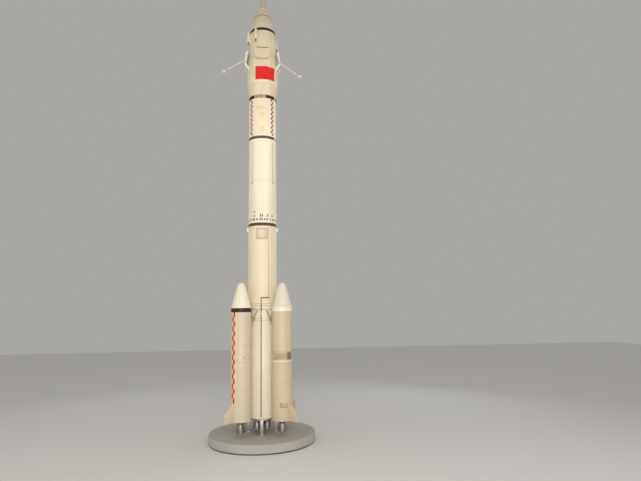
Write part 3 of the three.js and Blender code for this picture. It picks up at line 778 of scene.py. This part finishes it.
def fitBooster(name, b):
    x, y = boosterPlaces[name]
    turn = boosterTurn(name)
    reach = hypot(x, y)
    node = f"booster_{name}"
    black = name in b["blackBands"]
    # painted shade: the booster skins take a darker ivory than the core, and the pair without black bands a
    # darker one still, for the shadow on it
    skinPaint = "boosterPaint" if black else "creamPaint"
    # painted light and shade on the noses: whiter on the banded pair, darker and greyer on the others
    nosePaint = "nosePaint" if black else "dullNosePaint"
    bandPaint = "dullBlackPaint" if black else "whitePaint"

    def spotAt(angle, side, radius, height, out=0.0):
        angle = radians(angle)
        return turn @ Vector((out + radius * cos(angle), side * radius * sin(angle), height))

    noseRows = flowing(rowsOf(node + "_nose", x, y))
    tipRadius, tipHeight = noseRows[-1]
    noseRows += [(tipRadius * b["tip"][0], tipHeight + b["tip"][1])]
    turnSkin(node + "_nose", noseRows, nosePaint, x, y, boosterSteps)
    turnSkin(node + "_band", rowsOf(node + "_band", x, y), bandPaint, x, y, boosterSteps)

    foot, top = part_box(node + "_tank")[0].z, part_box(node + "_band")[0].z - b["bandGap"]
    bm = bmesh.new()
    spinRows(bm, [(boosterRadius, foot), (boosterRadius, top)], x, y, boosterSteps)
    deep = reach - boosterRadius - coreRadius + b["blockSunk"]
    boltOut, boltAside, boltUp = b["blockBolts"]
    for height in b["blockHeights"]:
        spot = turn @ Vector((coreRadius + b["coreGap"] + deep / 2, 0, height))
        addBox(bm, (deep, *b["block"]), spot, b["blockEdge"], turn, segments=3)
        for side in (-1, 1):
            for up in (-1, 1):
                bolt = turn @ Vector((coreRadius + boltOut, side * boltAside, height + up * boltUp))
                addBolt(bm, bolt, turn @ Vector((0, side, 0)), b["blockBolt"])
    for side in (-1, 1):
        for coreAngle, coreHeight, ownAngle, ownHeight in b["braces"]:
            foot = spotAt(coreAngle, side, coreRadius + b["coreGap"], coreHeight)
            knee = spotAt(coreAngle, side, coreRadius + b["knee"], coreHeight)
            end = spotAt(ownAngle, side, boosterRadius - b["rodSunk"], ownHeight, reach)
            # the rods' khaki is partly their own colour, partly painted shade
            addRod(bm, foot, knee, b["rodFoot"], 20, paint=2)
            addRod(bm, knee, end, b["rod"], 16, paint=2)
    hangPiece(node + "_tank_skin", bm, [skinPaint, "screwMetal", "rodPaint"], replaced=[node + "_tank"])

    bm = bmesh.new()
    turnSkirt(bm, boosterRadius, x, y, b["skirtLow"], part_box(node + "_skirt")[1].z, skirt, boosterSteps)
    addTailFin(bm, turn, reach + boosterRadius, b)
    hangPiece(node + "_skirt_skin", bm, [skinPaint], replaced=[node + "_skirt"])

    plateRadius = boosterRadius - skirt["wall"] - bell["plateGap"]
    fitEngines(node + "_engine", x, y, [(0, 0)], plateRadius, bell["boosterRim"], bell)


def addTailFin(bm, turn, skin, b):
    # a swept plate whose edges thin out
    outline = [(skin + past, -b["finThick"] / 2, height) for past, height in b["fin"]]
    side = bm.faces.new([bm.verts.new(place) for place in outline])
    made = bmesh.ops.extrude_face_region(bm, geom=[side])["geom"]
    top = [g for g in made if isinstance(g, bmesh.types.BMVert)]
    bmesh.ops.translate(bm, verts=top, vec=(0, b["finThick"], 0))
    verts = list(side.verts) + top
    edges = {e for v in verts for e in v.link_edges}
    rims = [e for e in edges if abs(e.verts[0].co.y - e.verts[1].co.y) < 1e-5]
    done = bmesh.ops.bevel(bm, geom=rims, offset=b["finEdge"], segments=3, profile=0.5, affect="EDGES",
                           material=-1)
    verts = list({v for f in done["faces"] for v in f.verts} | {v for v in verts if v.is_valid})
    bmesh.ops.transform(bm, verts=verts, matrix=turn)


def hillPattern(u, v):
    # a plain band of low hills with two light bars at its right end
    bar = u > 0.77 and (0.12 < v < 0.34 or 0.66 < v < 0.88)
    hill = v < 0.3 * max(0.0, 1 - abs(u - 0.66) / 0.12) or v < 0.24 * max(0.0, 1 - abs(u - 0.38) / 0.1)
    slope = u < 0.3 and v > 0.25 + 2.6 * abs(u - 0.12) and v < 0.9
    return 1 if bar or hill or slope else 0


def fitBoosterMarks(name, b, c, o):
    # thin ring lines, then the checked strip or the olive band
    x, y = boosterPlaces[name]
    checked = name in b["blackBands"]
    bm = bmesh.new()
    for height, tall in boosterLines["checked" if checked else "banded"]:
        addHoop(bm, boosterRadius, height, tall, boosterLines["proud"], x, y, boosterSteps)
    hangPiece(f"booster_{name}_lines", bm, ["seamPaint"])
    rest = {"turns": (180 if name in b["turned"] else 0,), "radius": boosterRadius, "middle": (x, y)}
    if checked:
        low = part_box(f"booster_{name}_tank")[0].z + c["clear"]
        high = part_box(f"booster_{name}_band")[0].z - c["clear"]
        backing = ((c["backLeft"], c["backRight"], low, high), 12, 12)
        strip = ((c["left"], c["right"], low, high), 8, c["rows"],
                 lambda u, v: (int(u * 2) + int(v * c["rows"])) % 2)
        cellPaints = ["checkPalePaint", "checkDarkPaint"]
        hangPatches(f"booster_{name}_strip", ["pinkEdgePaint"], [backing], thick=0.0003, **rest)
        hangPatches(f"booster_{name}_checks", cellPaints, [strip], thick=0.0006, **rest)
        hangPatches(f"booster_{name}_small_marks", ["oliveBandPaint"], c["marks"], thick=0.0004, **rest)
        return
    band = (o["band"], 58, 20, hillPattern)
    panel = (o["panel"], 24, 10, lambda u, v: 1 if u > 0.3 and v > 0.35 else 0)
    hangPatches(f"booster_{name}_olive_band", ["oliveBandPaint", "seamPaint"], [band, panel], **rest)
    hangPatches(f"booster_{name}_band_end", ["bandEndPaint"], [(o["end"], 8, 6)], **rest)
    bm = bmesh.new()
    addHoop(bm, boosterRadius, *o["hoop"], x, y, boosterSteps)
    hangPiece(f"booster_{name}_hoop", bm, ["boatPaint"])


for name in boosterPlaces:
    fitBooster(name, booster)
    fitBoosterMarks(name, booster, checks, olive)

print("stage: fins and brackets")
gridFin = {
    "thick": 0.024, "half": 0.088, "start": 0.025, "long": 0.16, "columns": 5, "rows": 4, "rib": 0.006,
    "frame": 0.008, "pocket": 0.006, "bevel": 0.0006, "lean": 8.5,
    "tongue": 0.07, "tongueDeep": 0.012, "tongueIn": 0.002, "tongueEdge": 0.0012,
    "barrel": 0.009, "barrelEnd": 0.079, "barrelEdge": 0.001, "pin": 0.0042, "pinEnd": 0.093,
    "sleeves": (-0.05, 0.0, 0.05), "sleeve": 0.0015, "sleeveProud": 0.0012, "sleeveEdge": 0.0005,
    "bolts": (-0.046, 0.046), "boltUp": 0.018, "bolt": 0.003,
    # the dark strip, painted as the shadow of the top frame bar, and the light edging on the face, and how
    # deep they sit in it
    "strip": (0.0024, 0.15, 0.0065), "shadowStripUp": 0.151, "edging": (0.0024, 0.009, 0.131),
    "edgingIn": 0.0052, "inset": 0.0004,
}
finTurns = {"right": 0, "rear": 90, "left": 180, "front": 270}
finPaints = {"right": "finPaint", "rear": "ivoryPaint", "left": "finPaint", "front": "ivoryPaint"}


def makeFin(side, f):
    joint = next(j for j in frame["joints"] if j["name"] == f"fin_{side}_fold")
    hinge = Vector(joint["pos_m"])
    tall, half = f["long"] - f["start"], f["half"]
    bm = bmesh.new()
    bmesh.ops.create_cube(bm, size=1.0)
    bmesh.ops.scale(bm, verts=bm.verts, vec=(f["thick"], 2 * half, tall))
    bmesh.ops.translate(bm, verts=bm.verts, vec=(0, 0, f["start"] + tall / 2))
    rim = f["frame"] - f["rib"] / 2
    wideStep, tallStep = 2 * (half - rim) / f["columns"], (tall - 2 * rim) / f["rows"]
    cuts = [((0, rim - half + k * wideStep, 0), (0, 1, 0)) for k in range(f["columns"] + 1)]
    cuts += [((0, 0, f["start"] + rim + k * tallStep), (0, 0, 1)) for k in range(f["rows"] + 1)]
    for place, across in cuts:
        everything = bm.verts[:] + bm.edges[:] + bm.faces[:]
        bmesh.ops.bisect_plane(bm, geom=everything, plane_co=place, plane_no=across)
    cells = []
    for face in bm.faces:
        middle = face.calc_center_median()
        inside = abs(middle.y) < half - rim and f["start"] + rim < middle.z < f["long"] - rim
        if face.normal.x > 0.9 and inside:
            cells.append(face)
    bmesh.ops.inset_individual(bm, faces=cells, thickness=f["rib"] / 2, use_even_offset=True)
    sunk = bmesh.ops.extrude_discrete_faces(bm, faces=cells)["faces"]
    sunkVerts = list({v for face in sunk for v in face.verts})
    bmesh.ops.translate(bm, verts=sunkVerts, vec=(-f["pocket"], 0, 0))
    bmesh.ops.dissolve_limit(bm, angle_limit=radians(2), verts=bm.verts, edges=bm.edges)
    softenEdges(bm, f["bevel"], 50, 1)
    tongue = (f["tongueDeep"], 2 * f["tongue"], f["start"] + f["tongueIn"])
    addBox(bm, tongue, (0, 0, f["start"] / 2), f["tongueEdge"])
    front = f["thick"] / 2 - f["inset"]
    # a dark strip painted as the shadow of the top frame bar
    addBox(bm, f["strip"], (front, 0, f["shadowStripUp"]), f["inset"], paint=2)
    for end in (-1, 1):
        place = (front, end * (half - f["edgingIn"]), f["start"] + tall / 2)
        addBox(bm, f["edging"], place, f["inset"], paint=3)
    end = f["barrelEnd"]
    # the hinge barrel is painted dark: painted shade along the hinge line
    addRod(bm, (0, -end, 0), (0, end, 0), f["barrel"], 32, edge=f["barrelEdge"], paint=4)
    for spot in f["sleeves"]:
        start, end = (0, spot - f["sleeve"], 0), (0, spot + f["sleeve"], 0)
        addRod(bm, start, end, f["barrel"] + f["sleeveProud"], 32, edge=f["sleeveEdge"])
    addRod(bm, (0, -f["pinEnd"], 0), (0, f["pinEnd"], 0), f["pin"], 20, paint=1)
    for spot in f["bolts"]:
        addBolt(bm, (f["tongueDeep"] / 2, spot, f["boltUp"]), (1, 0, 0), f["bolt"])
    turn = Matrix.Rotation(radians(finTurns[side]), 4, "Z") @ Matrix.Rotation(-radians(f["lean"]), 4, "Y")
    bmesh.ops.transform(bm, verts=bm.verts, matrix=Matrix.Translation(hinge) @ turn)
    paints = [finPaints[side], "screwMetal", "oliveMarkPaint", "finPaint", "seamPaint"]
    hangPiece(f"grid_fin_{side}_plate", bm, paints, f"fin_{side}", [f"grid_fin_{side}"])


bracket = {
    "boltRadius": 0.1922, "boltHeight": 4.449, "bolts": (-0.066, -0.022, 0.022, 0.066),
    "bolt": 0.0034, "boltSunk": 0.0004, "edge": 0.0009,
    # the sheet that covers the hinge from below: distance from the axis and height
    "cover": [(0.2165, 4.4965), (0.2105, 4.48), (0.1965, 4.4535), (0.185, 4.432)], "coverHalf": 0.0825,
    "coverThick": 0.0015,
    # the thin loop under the hinge: distance from the axis and height
    "loop": [(0.18, 4.49), (0.206, 4.49), (0.216, 4.484), (0.217, 4.466), (0.21, 4.445), (0.198, 4.429),
             (0.187, 4.416)],
    "rod": 0.003,
}


def addSheet(bm, rows, half, thick, turn, paint):
    # a bent sheet, from rows of distance from the axis and height
    made = bmesh.ops.create_grid(bm, x_segments=1, y_segments=len(rows) - 1, size=0.5)["verts"]
    for vert in made:
        radius, height = rows[round((vert.co.y + 0.5) * (len(rows) - 1))]
        vert.co = turn @ Vector((radius, vert.co.x * 2 * half, height))
    faces = list({f for v in made for f in v.link_faces})
    bmesh.ops.recalc_face_normals(bm, faces=faces)
    whole = bmesh.ops.solidify(bm, geom=faces, thickness=thick)["geom"]
    for face in faces + [g for g in whole if isinstance(g, bmesh.types.BMFace)]:
        face.material_index = paint


def fitBracket(side, b):
    bm = cadCopy(f"fin_bracket_{side}", b["edge"])
    turn = Matrix.Rotation(radians(finTurns[side]), 4, "Z")
    for y in b["bolts"]:
        out = (b["boltRadius"] ** 2 - y ** 2) ** 0.5
        spot = Vector((out - b["boltSunk"], y, b["boltHeight"]))
        addBolt(bm, turn @ spot, turn @ Vector((out, y, 0)), b["bolt"])
    # the cover is painted in the darker boat-tail ivory: painted shade under the hinge
    addSheet(bm, b["cover"], b["coverHalf"], b["coverThick"], turn, 2)
    path = [Vector((radius, 0, height)) for radius, height in flowing(b["loop"], 3, 180)]
    bmesh.ops.transform(bm, verts=addTube(bm, path, b["rod"]), matrix=turn)
    paints = [finPaints[side], "screwMetal", "boatPaint"]
    hangPiece(f"fin_bracket_{side}_body", bm, paints, replaced=[f"fin_bracket_{side}"])


for side in finTurns:
    makeFin(side, gridFin)
    fitBracket(side, bracket)

print("stage: housings, stays and runs on the skin")
housing = {
    "angles": {"front_left": -47.0, "rear_right": 133.0}, "edge": 0.0012,
    # below this height and past this radius a face belongs to the tubes and their nozzles
    "tubeBelow": 4.7885, "tubePast": 0.165, "nozzleAside": 0.052, "cheekAside": 0.0485,
}


def fitHousing(name, h):
    node = f"motor_housing_{name}"
    bm = cadCopy(node, h["edge"])
    along = around(h["angles"][name] + 90, 1, 0)  # sideways, from one tube to the other
    for face in bm.faces:
        middle = face.calc_center_median()
        sideways = middle.dot(along)
        if middle.z < h["tubeBelow"] and hypot(middle.x, middle.y) > h["tubePast"]:
            # the faces between the nozzles take a pinkish paint: partly the housing's tint, partly painted
            # shade on its lower part
            face.material_index = 1 if abs(sideways) > h["nozzleAside"] else 2
        elif abs(sideways) > h["cheekAside"]:
            face.material_index = 3 if sideways < 0 else 4
    paints = ["ivoryPaint", "nozzlePaint", "pinkEdgePaint", "bumpPaint", "nosePaint"]
    hangPiece(node + "_body", bm, paints, replaced=[node])


for name in housing["angles"]:
    fitHousing(name, housing)

stay = {
    "gap": 0.0008, "flange": 0.03, "flangeDeep": 0.006, "boss": 0.015, "bossDeep": 0.01, "edge": 0.0012,
    "bolts": 6, "boltOut": 0.0228, "bolt": 0.0034, "rod": 0.009, "rodFoot": 0.007, "rodShort": 0.006,
    # the wall plate, and how far aside and up its bolts are
    "plate": (0.078, 0.008, 0.036), "plateEdge": 0.0016, "plateBolts": (0.03, 0.01), "plateBolt": 0.0036,
    # the socket and its locknut: start and end before the rod's end, of its radius, sides, edge and paint
    "ends": [(0.02, -0.002, 1.7, 24, 0.001, 0), (0.028, 0.02, 1.35, 6, 0.0006, 1)],
}
stays = {  # side: where the rod leaves the fairing, where its wall plate is
    "left": ((-0.148, 0.079, 4.682), (-0.508, 0.355, 4.618)),
    "right": ((0.142, 0.088, 4.665), (0.47, 0.355, 4.565)),
}


def fitStay(side, s):
    start, end = (Vector(v) for v in stays[side])
    bm = bmesh.new()
    out = Vector((start.x, start.y, 0)).normalized()
    across, upward = Vector((-out.y, out.x, 0)), Vector((0, 0, 1))
    face = out * (coreRadius + s["gap"]) + upward * start.z
    front = face + out * s["flangeDeep"]
    addRod(bm, face, front, s["flange"], 40, edge=s["edge"])
    addRod(bm, face, face + out * s["bossDeep"], s["boss"], 32, edge=s["edge"])
    for k in range(s["bolts"]):
        angle = 2 * pi * k / s["bolts"]
        aside = (across * cos(angle) + upward * sin(angle)) * s["boltOut"]
        addBolt(bm, front + aside, out, s["bolt"])
    along = (end - start).normalized()
    last = end - along * s["rodShort"]
    addRod(bm, face + out * s["rodFoot"], last, s["rod"], 24)
    for first, second, thicker, sides, edge, paint in s["ends"]:
        foot, top = last - along * first, last - along * second
        addRod(bm, foot, top, s["rod"] * thicker, sides, edge=edge, paint=paint)
    addBox(bm, s["plate"], end, s["plateEdge"], segments=3)
    aside, up = s["plateBolts"]
    for x in (-aside, aside):
        for z in (-up, up):
            addBolt(bm, end + Vector((x, -s["plate"][1] / 2, z)), (0, -1, 0), s["plateBolt"])
    hangPiece(f"wall_stay_{side}_rod", bm, ["finPaint", "screwMetal"], replaced=[f"wall_stay_{side}"])


for side in stays:
    fitStay(side, stay)

run = {
    "edge": 0.0018, "ductEdge": 0.0012, "ductFoot": 0.02, "ductShadow": 25.8, "shadowWide": 0.004,
    "shadowFoot": 0.016,
    # the feed pipe's clamps (how tall and how proud) and their blocks
    "pipe": 0.005, "clampFoot": 0.06, "clampTop": 0.03, "clampEvery": 0.165, "clamp": (0.008, 0.001),
    "block": (0.022, 0.005, 0.008), "blockBack": 0.0038, "blockEdge": 0.0008, "steps": 28,
    # its joint and its sleeve: height, how tall, how proud
    "joint": (1.43, 0.014, 0.0016), "sleeve": (1.49, 0.085, 0.0006),
    # the raceways' dark lines beside them, painted shade, and the small round end under each
    "racewayShadow": 2.8, "stub": 0.006, "stubTall": 0.012, "stubOut": 0.004,
}


def fitDuct(r):
    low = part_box("cable_duct")[0]
    bm = cadCopy("cable_duct", r["ductEdge"])
    bandLow, bandHigh = (corner.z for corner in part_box("stage_band"))
    for height in (bandLow, bandHigh):  # the duct is painted along with the band that it crosses
        everything = bm.verts[:] + bm.edges[:] + bm.faces[:]
        bmesh.ops.bisect_plane(bm, geom=everything, plane_co=(0, 0, height), plane_no=(0, 0, 1))
    for face in bm.faces:
        height = face.calc_center_median().z
        crossing = bandLow < height < bandHigh
        face.material_index = 2 if crossing else 1 if height < low.z + r["ductFoot"] else 0
    hangPiece("cable_duct_run", bm, ["whitePaint", "pipePaint", "greyBandPaint"], replaced=["cable_duct"])
    # a dark line painted beside the duct: its painted shadow
    line = spanAt(r["ductShadow"], r["shadowWide"], low.z + r["shadowFoot"], bandLow - low.z - r["ductFoot"])
    hangPatches("cable_duct_shadow", ["tickPaint"], [(line, 1, 24)])


def fitPipe(r):
    low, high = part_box("feed_pipe")
    x, y = (low.x + high.x) / 2, (low.y + high.y) / 2
    bm = bmesh.new()
    spinRows(bm, [(r["pipe"], low.z), (r["pipe"], high.z)], x, y, r["steps"])
    up = low.z + r["clampFoot"]
    while up < high.z - r["clampTop"]:
        addHoop(bm, r["pipe"], up, *r["clamp"], x, y, r["steps"])
        addBox(bm, r["block"], (x, y + r["blockBack"], up), r["blockEdge"], paint=3)
        up += r["clampEvery"]
    addHoop(bm, r["pipe"], *r["joint"], x, y, r["steps"], paint=1)
    addHoop(bm, r["pipe"], *r["sleeve"], x, y, r["steps"], paint=2)
    paints = ["pipePaint", "pinkEdgePaint", "rustPaint", "ivoryPaint"]
    hangPiece("feed_pipe_run", bm, paints, replaced=["feed_pipe"])


def fitRaceway(node, r):
    bm = cadCopy(node, r["edge"])
    low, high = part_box(node)
    out = Vector((low.x + high.x, low.y + high.y, 0)).normalized()
    spot = out * (coreRadius + r["stubOut"]) + Vector((0, 0, low.z))
    addRod(bm, spot, spot - Vector((0, 0, r["stubTall"])), r["stub"], 20, paint=1)
    hangPiece(node + "_run", bm, ["palePaint", "oliveMarkPaint"], replaced=[node])
    azimuth = degrees(atan2(out.x, -out.y)) - camera["bearing"]
    # dark lines painted on both sides of the raceway: painted shade
    lines = [spanAt(azimuth + k * r["racewayShadow"], r["shadowWide"], low.z, high.z - low.z) for k in (-1, 1)]
    hangPatches(node + "_lines", ["tickPaint"], [(line, 1, 12) for line in lines])


fitDuct(run)
fitPipe(run)
fitRaceway("raceway_left", run)
fitRaceway("raceway_right", run)
hangPiece("side_duct_run", cadCopy("side_duct", run["edge"]), ["finPaint"], replaced=["side_duct"])

print("stage: painted marks")
bothSides = (0, 180)
panel = {"span": (-29.5, 49.5, 4.247, 4.429), "border": 0.007}


def inset(span, border, radius=coreRadius):
    # a span that is smaller by a border all round
    left, right, low, high = span
    aside = degrees(border / radius)
    return left + aside, right - aside, low + border, high - border


def fitPanel(p):
    # a plain red panel in a thin pale border
    inner = inset(p["span"], p["border"], fairingRadius)
    hangPatches("red_panel_border", ["pinkEdgePaint"], [(p["span"], 48, 6)], radius=fairingRadius)
    hangPatches("red_panel", ["redPaint"], [(inner, 48, 6)], thick=0.0009, radius=fairingRadius)


fitPanel(panel)

strips = {
    "azimuths": (-52.5, 43.0), "backs": ((-66.0, -32.0), (26.0, 56.0)),
    "cellWide": 0.02, "cellTall": 0.0295, "foot": 0.014, "top": 0.003,
}


def fitCoreChecks(s):
    # two checked strips on pale backings, in front and again behind
    low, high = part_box("second_stage_forward_section")
    foot, top = low.z + s["foot"], high.z - s["top"]
    rows = round((top - foot) / s["cellTall"])
    backs = [((left, right, foot, top), 6, 6) for left, right in s["backs"]]
    hangPatches("core_check_strips", ["coreEdgePaint"], backs, bothSides, thick=0.0003)
    cells = [(spanAt(azimuth, 2 * s["cellWide"], foot, top - foot), 6, rows,
              lambda u, v: (int(u * 2) + int(v * rows)) % 2) for azimuth in s["azimuths"]]
    hangPatches("core_checks", ["corePalePaint", "checkDarkPaint"], cells, bothSides, thick=0.0006)


fitCoreChecks(strips)

bandMarks = {  # the painted highlight on the fairing's black band, and its dark ticks
    "left": -36.5, "right": 13.5, "low": 4.0275, "tall": 0.038,
    "ticks": (-25.0, -10.0), "tickWide": 0.007,
}


def fitBandMarks(b):
    # the lighter stretch is a painted highlight on the black band, in front and again behind
    highlight = (b["left"], b["right"], b["low"], b["low"] + b["tall"])
    lines = [(spanAt(azimuth, b["tickWide"], b["low"], b["tall"]), 1, 2) for azimuth in b["ticks"]]
    hangPatches("fairing_band_highlight", ["bandGreyPaint"], [(highlight, 12, 2)], bothSides)
    hangPatches("fairing_band_ticks", ["greyBandPaint"], lines, bothSides, thick=0.0009)


fitBandMarks(bandMarks)

seams = {
    "fairing": (-35.0, 145.0, -125.0, 55.0), "low": 4.21, "high": 4.421, "wide": 0.002,
    # the short brown lines on the tower's skirt; their ends are a distance from the axis and a height
    "tower": (-3.6, 116.4, 236.4), "towerLow": (0.0985, 5.152), "towerHigh": (0.089, 5.185),
    "towerLine": 0.0022,
    # two faint level lines and the three slots of a vent
    "levelLines": [(-28.7, 5.6, 3.915, 3.919), (-28.7, 5.6, 3.891, 3.895)],
    "slots": [(39.5, 46.0, 4.6625, 4.6685), (39.5, 46.0, 4.6345, 4.6405), (39.5, 46.0, 4.6065, 4.6125)],
}


def fitSeams(s):
    upright = [(spanAt(azimuth, s["wide"], s["low"], s["high"] - s["low"], fairingRadius), 1, 8)
               for azimuth in s["fairing"]]
    hangPatches("fairing_seams", ["seamPaint"], upright, thick=0.0003, radius=fairingRadius)
    bm = bmesh.new()
    for azimuth in s["tower"]:
        addRod(bm, around(azimuth, *s["towerLow"]), around(azimuth, *s["towerHigh"]), s["towerLine"], 10)
    hangPiece("tower_skirt_lines", bm, ["rustPaint"])
    for name, paint in (("levelLines", "greyMarkPaint"), ("slots", "seamPaint")):
        hangPatches("skin_" + name, [paint], [(span, 8, 1) for span in s[name]], thick=0.0003)


fitSeams(seams)

ticks = {
    "low": 2.512, "tall": 0.027, "wide": 0.0155, "every": 12.0,
    "angles": (-34.0, -22.5, -10.0, -2.0, 8.5, 18.2, 31.7, 44.8),
    # angle, low edge and how tall
    "upperWide": 0.0124, "upper": ((-8.0, 2.554, 0.033), (-0.2, 2.554, 0.033), (20.5, 2.556, 0.033)),
    "smudgeWide": 0.026, "smudges": ((-34.0, 2.604, 0.02), (-34.0, 2.557, 0.02), (42.0, 2.56, 0.022)),
}


def fitTicks(t):
    # the small plates round the foot of the second stage
    angles = list(t["angles"])
    while angles[-1] + t["every"] < 360 + angles[0]:
        angles.append(angles[-1] + t["every"])
    plates = [(angle, t["low"], t["tall"]) for angle in angles]
    for name, paint, wide, places, turns in (
            ("section_ticks", "tickPaint", t["wide"], plates, (0,)),
            ("section_upper_ticks", "oliveMarkPaint", t["upperWide"], t["upper"], bothSides),
            ("section_wide_ticks", "greyMarkPaint", t["smudgeWide"], t["smudges"], bothSides)):
        patches = [(spanAt(azimuth, wide, low, tall), 2, 2) for azimuth, low, tall in places]
        hangPatches(name, [paint], patches, turns, thick=0.0004)


fitTicks(ticks)

badge = {"span": (-27.0, 21.5, 2.289, 2.422), "edge": 0.007, "disc": (0.044, -2.75, 2.3555)}
goldMarks = {"disc": (0.036, -2.6, 3.817), "plate": (-11.8, 6.8, 3.569, 3.663)}


def layDisc(name, paint, disc, thick):
    # a plain round patch on the core's skin, made of rings so that it follows the curve
    radius, azimuth, height = disc
    count = 6
    bm = bmesh.new()
    rings = [bmesh.ops.create_circle(bm, cap_ends=k == 1, segments=48, radius=radius * k / count)["verts"]
             for k in range(1, count + 1)]
    rims = [{e for v in ring for e in v.link_edges} for ring in rings]
    for inner, outer in zip(rims, rims[1:]):
        bmesh.ops.bridge_loops(bm, edges=list(inner | outer))
    for vert in bm.verts:
        across = azimuth + degrees(vert.co.x / coreRadius)
        vert.co = around(across, coreRadius + thick, height + vert.co.y)
    bmesh.ops.recalc_face_normals(bm, faces=bm.faces)
    bmesh.ops.solidify(bm, geom=bm.faces, thickness=thick * 2)
    hangPiece(name, bm, [paint])


def fitBadge(b, g):
    hangPatches("square_edge", ["tanEdgePaint"], [(b["span"], 16, 4)], thick=0.0004)
    hangPatches("square_plate", ["tanPlatePaint"], [(inset(b["span"], b["edge"]), 16, 4)], thick=0.0007)
    layDisc("square_disc", "tanDiscPaint", b["disc"], 0.001)
    layDisc("gold_disc", "goldPaint", g["disc"], 0.0005)
    hangPatches("gold_plate", ["goldPaint"], [(g["plate"], 6, 3)])


fitBadge(badge, goldMarks)

print("stage: floor")


def layFloor(size):
    bm = bmesh.new()
    bmesh.ops.create_grid(bm, x_segments=8, y_segments=8, size=size)
    mesh = bpy.data.meshes.new("studioFloor")
    bm.to_mesh(mesh)
    bm.free()
    ground = bpy.data.objects.new("studioFloor", mesh)
    bpy.context.scene.collection.objects.link(ground)
    paper = bpy.data.materials.new("floorPaper")
    paper.use_nodes = True
    shader = paper.node_tree.nodes["Principled BSDF"]
    shader.inputs["Base Color"].default_value = studio["floorColour"]
    shader.inputs["Roughness"].default_value = studio["floorRoughness"]
    mesh.materials.append(paper)


layFloor(studio["floorSize"])
